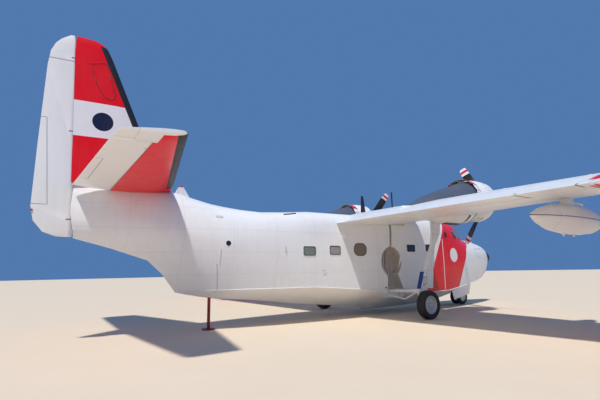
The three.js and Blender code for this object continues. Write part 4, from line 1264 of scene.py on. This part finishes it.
class BOAT_OT_main_gear(bpy.types.Operator):
    """Main wheels with ribbed tyres, the legs' sleeves, collars and links, brake lines and blue covers"""

    bl_idname = "boat.main_gear"
    bl_label = "Main gear"

    def execute(self, context):
        centre, radius, half = wheel_size("main_tyre_left")
        wheel = "main_wheel_{}"
        ribbed = tyre(centre, radius, half, MAIN_RIM)
        both_sides(ribbed, "main_tyre_{}_ribbed", "rubber", wheel, ["main_tyre_{}"])
        both_sides(rim(centre, MAIN_RIM, half, 8), "main_rim_{}_cast", "alloy", wheel, ["main_rim_{}"])
        both_sides(rod(on_leg(0.05), on_leg(0.27), 0.056, 32), "oleo_sleeve_{}", "chrome")
        along = (LEG_TOP - LEG_KNEE).normalized()
        ahead = Vector((along.z, 0, -along.x))
        pieces = [rod(on_leg(share), on_leg(share) + 0.03 * along, wide, 24) for share, wide in LEG_COLLARS]
        ends = [on_leg(share) for share in LINK_ENDS]
        elbow = (ends[0] + ends[1]) / 2 + 0.22 * ahead
        for offset in (-0.075, 0.075):
            aside = Vector((0, offset, 0))
            for end in ends:
                pieces.append(bar(end + aside + 0.05 * ahead, elbow + 0.7 * aside, 0.022, 0.05))
        half_pin = Vector((0, 0.07, 0))
        pieces.append(rod(elbow - half_pin, elbow + half_pin, 0.022, 12))
        both_sides(joined(pieces), "leg_links_{}", "white")
        hose = [on_leg(share) + Vector(off) for share, off in BRAKE_LINE]
        both_sides(pipe([*hose, BRAKE_END], 0.012, 0.08), "brake_line_{}", "black")
        both_sides(bar((1.47, 2.44, 1.5), (1.225, 2.44, 0.9), 0.12, 0.07), "strut_cover_{}", "blue")
        return {"FINISHED"}


class BOAT_OT_nose_gear(bpy.types.Operator):
    """Twin nose wheels, with the fork's collars and links"""

    bl_idname = "boat.nose_gear"
    bl_label = "Nose gear"

    def execute(self, context):
        centre, radius, half = wheel_size("nose_tyre_left")
        wheels = "nose_wheels"
        ribbed = tyre(centre, radius, half, NOSE_RIM)
        both_sides(ribbed, "nose_tyre_{}_ribbed", "rubber", wheels, ["nose_tyre_{}"])
        left = rim(centre, NOSE_RIM, half, 6)
        right = copied(left, MIRROR)
        axle = rod((centre.x, -centre.y, centre.z), centre, 0.03, 20)
        dressed(joined([left, right, axle]), "nose_rims_cast", "alloy", wheels, ["nose_rims"])
        x = centre.x
        pieces = [rod((x, 0, z), (x, 0, z + 0.035), 0.078, 24) for z in (0.47, 0.68)]
        for y in (-0.055, 0.055):
            elbow = (x - 0.2, y * 0.7, 0.56)
            pieces.append(bar((x - 0.07, y, 0.72), elbow, 0.016, 0.035))
            pieces.append(bar(elbow, (x - 0.06, y, 0.42), 0.016, 0.035))
        dressed(joined(pieces), "nose_links", "white", "nose_fork")
        return {"FINISHED"}


# Wheel wells: middle and radius of the left one's round part, and its inner wall
WELL_X, WELL_Z, WELL_RADIUS, WELL_WALL = 1.36, 1.88, 0.535, 0.89
WELL_FRAMES = (-0.36, -0.12, 0.12, 0.36)
WELL_STRINGERS = (-0.3, -0.2, -0.1, 0.0, 0.1, 0.2, 0.3, 0.4)
WELL_FOOT = 1.0  # the frames near the middle reach down to here
RIB_HALF = 0.014

# Pipes in the left well: x from its middle and z of each bend, radius, rounding of the bends
WELL_PIPES = (
    (((-0.2, 1.05), (-0.2, 1.7), (0.05, 1.95), (0.05, 2.3)), 0.013, 0.06),
    (((0.22, 1.0), (0.22, 2.2)), 0.01, 0.0),
)


class BOAT_OT_wells(bpy.types.Operator):
    """Frames, stringers, pipes and a jack on the inner walls of the wheel wells"""

    bl_idname = "boat.wells"
    bl_label = "Wheel wells"

    def execute(self, context):
        x, z, wall = WELL_X, WELL_Z, WELL_WALL
        reach = WELL_RADIUS - 0.05
        ribs = []
        for offset in WELL_FRAMES:
            tall = math.sqrt(reach**2 - offset**2)
            low = z - tall if abs(offset) > 0.3 else WELL_FOOT
            near = (x + offset - RIB_HALF, wall, low)
            ribs.append(block(near, (x + offset + RIB_HALF, wall + 0.045, z + tall)))
        for offset in WELL_STRINGERS:
            wide = math.sqrt(reach**2 - offset**2)
            near = (x - wide, wall, z + offset - RIB_HALF)
            ribs.append(block(near, (x + wide, wall + 0.035, z + offset + RIB_HALF)))
        ribs.append(block((x - 0.24, wall, 1.2), (x + 0.3, wall + 0.03, 1.224)))
        both_sides(joined(ribs), "well_frames_{}", "well")
        pipes = []
        for bends, radius, bend in WELL_PIPES:
            pipes.append(pipe([(x + off, wall + 0.03, height) for off, height in bends], radius, bend))
        jack = rod((x - 0.02, wall + 0.06, 1.62), (x - 0.02, wall + 0.06, 2.26), 0.032, 20)
        both_sides(joined([*pipes, jack]), "well_pipes_{}", "steel")
        return {"FINISHED"}


# Engines

# Closed section of the cowl: share of its radius, and of its length from the rear
COWL_SECTION = (
    (0.9, 0), (0.94, 0.1), (0.98, 0.25), (0.997, 0.38), (1, 0.5), (0.99, 0.66), (0.955, 0.82), (0.915, 0.9),
    (0.85, 0.96), (0.81, 0.985), (0.775, 1), (0.735, 1), (0.70, 0.97), (0.72, 0.93), (0.8, 0.84),
    (0.9, 0.75), (0.84, 0),
)
COWL_BANDS = ((0.28, 0.985), (0.8, 0.962))  # share of the cowl's length and of its radius
COWL_FLAPS = 9
COWL_FLAP_PITCH = math.radians(20)
COWL_FLAP_TILT = math.radians(4)
LATCHES = 6

# Cylinders: how many, how far ahead of the cowl's rear, and the fins of each
CYLINDERS = 9
CYLINDER_X = 0.34
FINS = 15
FIN_FOOT = 0.31   # distance of the first fin from the engine's axis
FIN_REACH = 0.26  # height of all the fins together
BARREL_RADIUS = 0.072
BARREL_FINS = 9   # these are narrower than the fins of the head
BARREL_FIN, HEAD_FIN = 0.088, 0.098

# Bolts on the engine: distance from its axis, place along it, how many
CASE_BOLTS = ((0.3, 0.56, 18), (0.17, 0.915, 12))

# Propellers: middle of the hubs along x, and how far each is turned in degrees
PROPELLER_X = 4.62
PROPELLER_TURN = {"left": 47, "right": -28}


def band(place, radius, wide, sunk, steps):
    """A slightly raised band round a body that lies along x."""
    high = radius + 0.005
    section = [(radius - sunk, 0), (high, 0.002), (high, wide - 0.002), (radius - sunk, wide)]
    return hoop(section, steps, place, AHEAD)


class BOAT_OT_cowls(bpy.types.Operator):
    """Engine cowls with their flaps, bands and latches"""

    bl_idname = "boat.cowls"
    bl_label = "Cowls"

    def execute(self, context):
        section = [(share * COWL_RADIUS, along * COWL_LONG) for share, along in COWL_SECTION]
        both_sides(hoop(section, 72, ENGINE, AHEAD), "cowl_{}_ring", "cowl", nodes=["cowl_{}"])
        reach = COWL_RADIUS * 0.925
        half = reach * COWL_FLAP_PITCH * 0.47
        flap = block((-0.25, -half, 0), (0.04, half, 0.014), 0.005)
        tilt = Matrix.Rotation(COWL_FLAP_TILT, 4, "Y")
        moved(flap, Matrix.Translation(ENGINE + Vector((0, 0, reach))) @ tilt)
        moved(flap, turned(-(COWL_FLAPS - 1) / 2 * COWL_FLAP_PITCH, ENGINE, AHEAD))
        flaps = spread(flap, COWL_FLAPS, ENGINE, AHEAD, COWL_FLAPS * COWL_FLAP_PITCH)
        both_sides(flaps, "cowl_flaps_{}", "gills")
        pieces = []
        for along, share in COWL_BANDS:
            place = ENGINE + Vector((along * COWL_LONG, 0, 0))
            pieces.append(band(place, COWL_RADIUS * share, 0.03, 0.004, 72))
        near = ENGINE + Vector((0.31 * COWL_LONG, -0.016, COWL_RADIUS * 0.985))
        latch = block(near, near + Vector((0.09, 0.032, 0.014)), 0.004)
        pieces.append(spread(latch, LATCHES, ENGINE, AHEAD))
        both_sides(joined(pieces), "cowl_bands_{}", "white")
        return {"FINISHED"}


class BOAT_OT_engines(bpy.types.Operator):
    """Finned cylinders, pushrod tubes, ignition ring and case bolts on each engine"""

    bl_idname = "boat.engines"
    bl_label = "Engines"

    def execute(self, context):
        profile = [(0.0, 0.3)]
        for i in range(FINS):
            height = FIN_FOOT + FIN_REACH * i / FINS
            wide = BARREL_FIN if i < BARREL_FINS else HEAD_FIN
            profile += [(BARREL_RADIUS, height), (wide, height + 0.002), (wide, height + 0.007)]
            profile.append((BARREL_RADIUS, height + 0.009))
        profile += [(0.085, 0.575), (0.07, 0.602), (0.0, 0.604)]
        barrel = [lathe(profile, 20, ENGINE + Vector((CYLINDER_X, 0, 0)))]
        tubes = []
        for side in (-1, 1):
            start = ENGINE + Vector((CYLINDER_X + 0.02, side * 0.055, 0.565))
            barrel.append(rod(start, start + Vector((0.1, side * 0.02, 0.02)), 0.034, 14))
            foot = ENGINE + Vector((0.58, side * 0.05, 0.3))
            tubes.append(rod(foot, ENGINE + Vector((CYLINDER_X + 0.08, side * 0.06, 0.57)), 0.013, 10))
        both_sides(spread(joined(barrel), CYLINDERS, ENGINE, AHEAD), "cylinders_{}", "dark_steel")
        both_sides(spread(joined(tubes), CYLINDERS, ENGINE, AHEAD), "pushrod_tubes_{}", "chrome")
        turns = [math.tau * i / 8 for i in range(8)]
        section = [(0.36 + 0.016 * math.cos(turn), 0.6 + 0.016 * math.sin(turn)) for turn in turns]
        pieces = [hoop(section, 48, ENGINE, AHEAD)]
        for radius, along, count in CASE_BOLTS:
            start = ENGINE + Vector((along, 0, radius))
            bolt = rod(start, start + Vector((0.018, 0, 0)), 0.012, 6)
            pieces.append(spread(bolt, count, ENGINE, AHEAD))
        both_sides(joined(pieces), "ignition_ring_{}", "brass")
        return {"FINISHED"}


class BOAT_OT_propellers(bpy.types.Operator):
    """Hub clamps, bosses, counterweights and a dome on each propeller"""

    bl_idname = "boat.propellers"
    bl_label = "Propellers"

    def execute(self, context):
        for side, sign in SIDES.items():
            hub = Vector((PROPELLER_X, sign * ENGINE.y, ENGINE.z))
            arm = [rod((0, 0, z), (0, 0, z + 0.035), wide, 24) for z, wide in ((0.2, 0.088), (0.27, 0.078))]
            arm.append(block((0.03, 0.045, 0.2), (0.1, 0.1, 0.3), 0.012))
            arm.append(block((-0.075, -0.028, 0.215), (-0.05, 0.028, 0.29), 0.006))
            arms = spread(joined(arm), 3, (0, 0, 0), AHEAD)
            nose = [(0.0, 0.246), (0.05, 0.244), (0.062, 0.232), (0.062, 0.225), (0.0, 0.225)]
            dome = lathe(nose, 24, (0, 0, 0), AHEAD)
            turn = Matrix.Rotation(math.radians(PROPELLER_TURN[side]), 4, "X")
            clamps = moved(joined([arms, dome]), Matrix.Translation(hub) @ turn)
            dressed(clamps, f"propeller_{side}_clamps", "alloy", f"propeller_{side}")
        return {"FINISHED"}


# Tanks, deck and small fittings

TANK_BANDS = (0.5, 2.55)
TANK_LUGS = (1.13, 1.7)
LUG_LOOP = ((-0.035, 2.4), (-0.035, 2.33), (0.035, 2.33), (0.035, 2.4))
BRACE = (1.9, 2.5, 3.2)  # rear and front end of the brace over the tank, and its height

# Profile of a filler cap: share of its radius, height
CAP_PROFILE = (
    (0.0, 0.008), (0.3, 0.008), (0.32, 0.014), (0.86, 0.014), (1.0, 0.004), (1.0, -0.01), (0.0, -0.01),
)

# Filler caps on top of the left wing: node, x, y
FILLERS = (
    ("wing_centre", 1.3, 1.6), ("wing_centre", 1.5, 4.15), ("wing_outer_left", 1.3, 5.6),
    ("wing_outer_left", 1.2, 7.7),
)

# Hatches on top of the hull: x, length and width
HATCHES = ((-1.9, 0.66, 0.6), (7.75, 0.56, 0.5))
HATCH_RIM = 0.05
RIM_PROUD = 0.007
LID_PROUD = 0.013

# Handles on the hull's left side: x, z, half length along x, half length along z
GRIPS = (
    (-5.11, 3.18, 0.09, 0.0), (-3.72, 2.43, 0.05, 0.0), (-3.13, 2.25, 0.0, 0.07), (-1.70, 1.61, 0.05, 0.0),
)

# Raised outline on the fin: x, z, back to the first point at the end
FIN_OUTLINE = (
    (-8.554, 7.159), (-8.193, 7.274), (-8.13, 7.16), (-7.931, 6.45), (-7.94, 6.31), (-8.03, 6.245),
    (-8.163, 6.295), (-8.375, 6.585), (-8.554, 7.159),
)

# Profiles of round fittings: radius, height
VENT = ((0.0, 0.0), (0.05, 0.0), (0.055, 0.008), (0.07, 0.008), (0.072, -0.01), (0.0, -0.01))
DRAIN = ((0.0, 0.004), (0.03, 0.004), (0.036, 0.0), (0.036, -0.01), (0.0, -0.01))
DOME = ((0.0, 0.075), (0.02, 0.072), (0.037, 0.055), (0.042, 0.02), (0.042, 0.0), (0.0, 0.0))
LENS_DISC = ((0.0, 0.012), (0.07, 0.01), (0.1, 0.004), (0.1, -0.01), (0.0, -0.01))
LENS_RIM = ((0.1, 0.01), (0.125, 0.008), (0.13, -0.01), (0.1, -0.01))

WICKS = (9.6, 10.9, 12.2, 13.3)  # y of the static wicks on the left aileron


def rail(node, wanted, radius):
    """A round bar along the edges of a node that pass the test."""
    piece = copied_node(node)
    choose(piece, "EDGE", lambda edge: not wanted(edge))
    bpy.ops.mesh.delete(type="EDGE_FACE")
    leave()
    choose(piece, "VERT", lambda corner: not corner.link_edges)
    bpy.ops.mesh.delete(type="VERT")
    leave()
    return swept(piece, radius)


def on_chine(edge):
    """Test for the hull's edges between its sides and its bottom, clear of the wheel wells."""
    bend = math.degrees(edge.calc_face_angle(0))
    ends = [corner.co for corner in edge.verts]
    clear = all(abs(end.y) > 0.2 and end.z < 1.65 and not 0.8 < end.x < 2.0 for end in ends)
    return clear and 30 < bend < 80


def on_float_edge(edge):
    """Test for the edges along a float between its sides, its deck and its bottom."""
    start, end = (corner.co for corner in edge.verts)
    along = abs(end.x - start.x) > 0.6 * (end - start).length
    return along and math.degrees(edge.calc_face_angle(0)) > 35


def cap(node, x, y, radius=0.07):
    """A flat filler cap on top of a node."""
    return lathe([(share * radius, height) for share, height in CAP_PROFILE], 28, *on_top(node, x, y))


def hatch(x, wide, deep):
    """A raised rim and lid on top of the hull."""
    cuts = strip_cuts((x, 0, 0), AHEAD, wide) + strip_cuts((x, 0, 0), ASIDE, deep)
    edge, lid = rimmed(slice_of("hull", cuts, lambda face: face.normal.z > 0.3), HATCH_RIM)
    return [thick(edge, RIM_PROUD), thick(lid, LID_PROUD)]


def grip(x, z, along_x, along_z):
    """A bent grab handle standing off the hull."""
    ends = [on_side("hull", x + side * along_x, z + side * along_z)[0] for side in (-1, 1)]
    out = Vector((0, 0.035, 0))
    return pipe([ends[0], ends[0] + out, ends[1] + out, ends[1]], 0.008, 0.015)


class BOAT_OT_tanks(bpy.types.Operator):
    """Bands, lugs and braces on the drop tanks, strips and lids on the floats, filler caps on the wings"""

    bl_idname = "boat.tanks"
    bl_label = "Tanks and floats"

    def execute(self, context):
        low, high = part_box("drop_tank_left")
        middle = (low + high) / 2
        pieces = []
        for x in TANK_BANDS:
            radius = on_top("drop_tank_left", x, middle.y)[0].z - middle.z
            pieces.append(band((x, middle.y, middle.z), radius, 0.032, 0.02, 56))
        for x in TANK_LUGS:
            pieces.append(pipe([(x + along, middle.y, z) for along, z in LUG_LOOP], 0.013, 0.015))
        rear, front, height = BRACE
        foot = on_top("drop_tank_left", front, middle.y)[0] - Vector((0, 0, 0.02))
        pieces.append(pipe([(rear, middle.y, height), (front, middle.y, height), foot], 0.028, 0.04))
        pieces.append(cap("drop_tank_left", 0.75, middle.y))
        both_sides(joined(pieces), "tank_fittings_{}", "white")
        both_sides(rail("wing_float_left", on_float_edge, 0.011), "float_strips_{}", "white")
        lids = [cap("wing_float_left", x, 10.6, 0.06) for x in (-0.35, 0.35)]
        both_sides(joined(lids), "float_lids_{}", "grey")
        both_sides(joined([cap(*row) for row in FILLERS]), "filler_caps_{}", "alloy")
        return {"FINISHED"}


class BOAT_OT_deck(bpy.types.Operator):
    """Roof hatches, mooring cleat, tow ring, pitot heads and door handle"""

    bl_idname = "boat.deck"
    bl_label = "Deck gear"

    def execute(self, context):
        plates = [plate for row in HATCHES for plate in hatch(*row)]
        dressed(joined(plates), "roof_hatches", "hull")
        foot, _ = on_top("hull", 8.35, 0)
        pieces = []
        for shift in (-0.05, 0.05):
            start = foot + Vector((shift, 0, -0.02))
            pieces.append(rod(start, start + Vector((0, 0, 0.1)), 0.018, 14))
        head, half = foot + Vector((0, 0, 0.08)), Vector((0.12, 0, 0))
        pieces.append(rod(head - half, head + half, 0.017, 14))
        stem, _ = met("hull", (FAR, 0, 1.75), (-1, 0, 0))
        loop = [(-0.03, 0.06), (0.045, 0.06), (0.045, -0.06), (-0.03, -0.06)]
        pieces.append(pipe([stem + Vector((x, 0, z)) for x, z in loop], 0.014, 0.025))
        dressed(joined(pieces), "deck_cleats", "grey")
        root, _ = on_side("hull", 7.35, 2.45)
        mast = [root, root + Vector((0.02, 0.14, 0)), root + Vector((0.26, 0.14, 0))]
        both_sides(pipe(mast, 0.014, 0.03), "pitot_{}", "alloy")
        place, _ = on_side("cabin_door", -3.58, 1.98)
        boss = rod(place - Vector((0, 0.01, 0)), place + Vector((0, 0.035, 0)), 0.03, 20)
        lever = bar(place + Vector((0.01, 0.03, 0)), place + Vector((-0.14, 0.03, 0)), 0.03, 0.016, 0.004)
        dressed(joined([boss, lever]), "door_handle", "grey", "cabin_door")
        return {"FINISHED"}


class BOAT_OT_fittings(bpy.types.Operator):
    """Grab handles, vents, drains, strips, the roof stub, the fin's outline, spray rails and static wicks"""

    bl_idname = "boat.fittings"
    bl_label = "Fittings"

    def execute(self, context):
        both_sides(joined([grip(*row) for row in GRIPS]), "grips_{}", "grey")
        both_sides(lathe(VENT, 28, *on_side("hull", -4.9, 2.41)), "side_vent_{}", "black")
        both_sides(lathe(DRAIN, 20, on_side("hull", 1.02, 0.98)[0], ASIDE), "side_drain_{}", "black")
        strip = thick(side_sheet("hull", -5.105, 2.06, 0.03, 0.43, 0.008), 0.012)
        both_sides(strip, "draught_strip_{}", "white")
        shoulder = [on_top("hull", x, 0.85)[0] for x in (-3.0, -2.78, -2.55)]
        both_sides(pipe(shoulder, 0.025), "roof_strip_{}", "black")
        foot, _ = on_top("hull", 3.4, 0)
        stub = rod(foot - Vector((0, 0, 0.02)), foot + Vector((0, 0, 0.16)), 0.035, 20, 0.022)
        dressed(stub, "roof_stub", "black")
        outline = [on_side("fin", x, z)[0] for x, z in FIN_OUTLINE]
        both_sides(pipe(outline, 0.013, 0.03), "fin_outline_{}", "post")
        dressed(rail("hull", on_chine, 0.014), "spray_rails", "white")
        wicks = []
        for y in WICKS:
            x = -1.168 + 0.0404 * y  # trailing edge
            wicks.append(rod((x + 0.01, y, 3.17), (x - 0.13, y, 3.16), 0.006, 8))
        both_sides(joined(wicks), "static_wicks_{}", "black", "aileron_{}")
        return {"FINISHED"}


class BOAT_OT_lamps(bpy.types.Operator):
    """Red beacon, tail lamp, landing lamps and wing-tip lamps"""

    bl_idname = "boat.lamps"
    bl_label = "Lamps"

    def execute(self, context):
        tail = rod((-9.545, -0.035, 3.15), (-9.545, 0.035, 3.15), 0.025, 20)
        dressed(tail, "tail_lamp", "red_lamp", "rudder")
        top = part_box("beacon_pylon")[1]
        dressed(lathe(DOME, 28, (-5.99, 0, top.z - 0.01)), "beacon_lamp", "red_lamp")
        place, normal = met("wing_outer_left", (2.05, 9.4, 0), UP)
        both_sides(lathe(LENS_DISC, 32, place, normal), "landing_lamp_{}", "dark_glass")
        both_sides(hoop(LENS_RIM, 32, place, normal), "landing_lamp_rim_{}", "chrome")
        for side, sign in SIDES.items():
            lens = lathe(DOME, 20, (0.62, sign * 14.64, 3.32), (0.25, sign, 0))
            dressed(lens, "tip_lamp_" + side, "red_lamp" if side == "left" else "green_lamp")
        return {"FINISHED"}


# Stage


class BOAT_OT_stage(bpy.types.Operator):
    """Plain pale floor, soft light all round, a soft key light, and the photograph's camera"""

    bl_idname = "boat.stage"
    bl_label = "Stage"

    def execute(self, context):
        bpy.ops.mesh.primitive_plane_add(size=FLOOR_SIZE, location=(0, 0, 0))
        floor = context.object
        floor.name = "floor"
        finish = Finish("Plain floor", roughness=0.9)
        net = finish.net
        weather = net.group(GROUPS["weather"], Vector=finish.place, Scale=0.2, Streaks=0.0)
        pale = net.scaled(weather["Patches"], 0.0, 0.12)
        finish.colour(net.mix(pale, tuple(colours().floor), (1.0, 1.0, 1.0)))
        floor.data.materials.append(finish.material)

        world = bpy.data.worlds.new("Soft light")
        world.use_nodes = True
        context.scene.world = world
        background = world.node_tree.nodes["Background"]
        background.inputs["Color"].default_value = (*colours().backdrop, 1.0)
        background.inputs["Strength"].default_value = SKY_STRENGTH
        context.scene.view_settings.view_transform = "Standard"

        key_data = bpy.data.lights.new("key", "SUN")
        key_data.energy = KEY_STRENGTH
        key_data.angle = KEY_ANGLE
        key_data.color = KEY_COLOUR
        key = bpy.data.objects.new("key", key_data)
        context.scene.collection.objects.link(key)
        key.rotation_mode = "QUATERNION"
        key.rotation_quaternion = KEY_DIRECTION.to_track_quat("-Z", "Y")
        key.location = (0, 0, 20)

        turn = Matrix.Rotation(VIEW_YAW - math.pi / 2, 4, "Z")
        turn @= Matrix.Rotation(VIEW_PITCH + math.pi / 2, 4, "X")
        turn @= Matrix.Rotation(VIEW_ROLL, 4, "Z")
        camera_data = bpy.data.cameras.new("camera")
        camera_data.lens = LENS
        camera_data.sensor_width = SENSOR
        camera_data.clip_start = 0.1
        camera_data.clip_end = 1000
        camera = bpy.data.objects.new("camera", camera_data)
        context.scene.collection.objects.link(camera)
        camera.matrix_world = Matrix.Translation(EYE) @ turn
        context.scene.camera = camera
        return {"FINISHED"}


OPERATORS = (
    BOAT_OT_finishes,
    BOAT_OT_skins,
    BOAT_OT_windows,
    BOAT_OT_boots,
    BOAT_OT_main_gear,
    BOAT_OT_nose_gear,
    BOAT_OT_wells,
    BOAT_OT_cowls,
    BOAT_OT_engines,
    BOAT_OT_propellers,
    BOAT_OT_tanks,
    BOAT_OT_deck,
    BOAT_OT_fittings,
    BOAT_OT_lamps,
    BOAT_OT_stage,
)


class BOAT_PT_panel(bpy.types.Panel):
    """Lists the colours, the sizes and the steps of the dressing"""

    bl_idname = "BOAT_PT_panel"
    bl_label = "Flying boat"
    bl_space_type = "VIEW_3D"
    bl_region_type = "UI"
    bl_category = "Flying boat"

    def draw(self, context):
        for group in (context.scene.boat_colours, context.scene.boat_sizes):
            for name in group.bl_rna.properties.keys():
                if name not in ("name", "rna_type"):
                    self.layout.prop(group, name)
        for operator in OPERATORS:
            self.layout.operator(operator.bl_idname)


CLASSES = (BoatColours, BoatSizes, *OPERATORS, BOAT_PT_panel)


def register():
    for item in CLASSES:
        bpy.utils.register_class(item)
    bpy.types.Scene.boat_colours = bpy.props.PointerProperty(type=BoatColours)
    bpy.types.Scene.boat_sizes = bpy.props.PointerProperty(type=BoatSizes)


def unregister():
    del bpy.types.Scene.boat_sizes
    del bpy.types.Scene.boat_colours
    for item in reversed(CLASSES):
        bpy.utils.unregister_class(item)


def main():
    register()
    for operator in OPERATORS:
        group, name = operator.bl_idname.split(".")
        getattr(getattr(bpy.ops, group), name)()


if __name__ == "__main__":
    main()
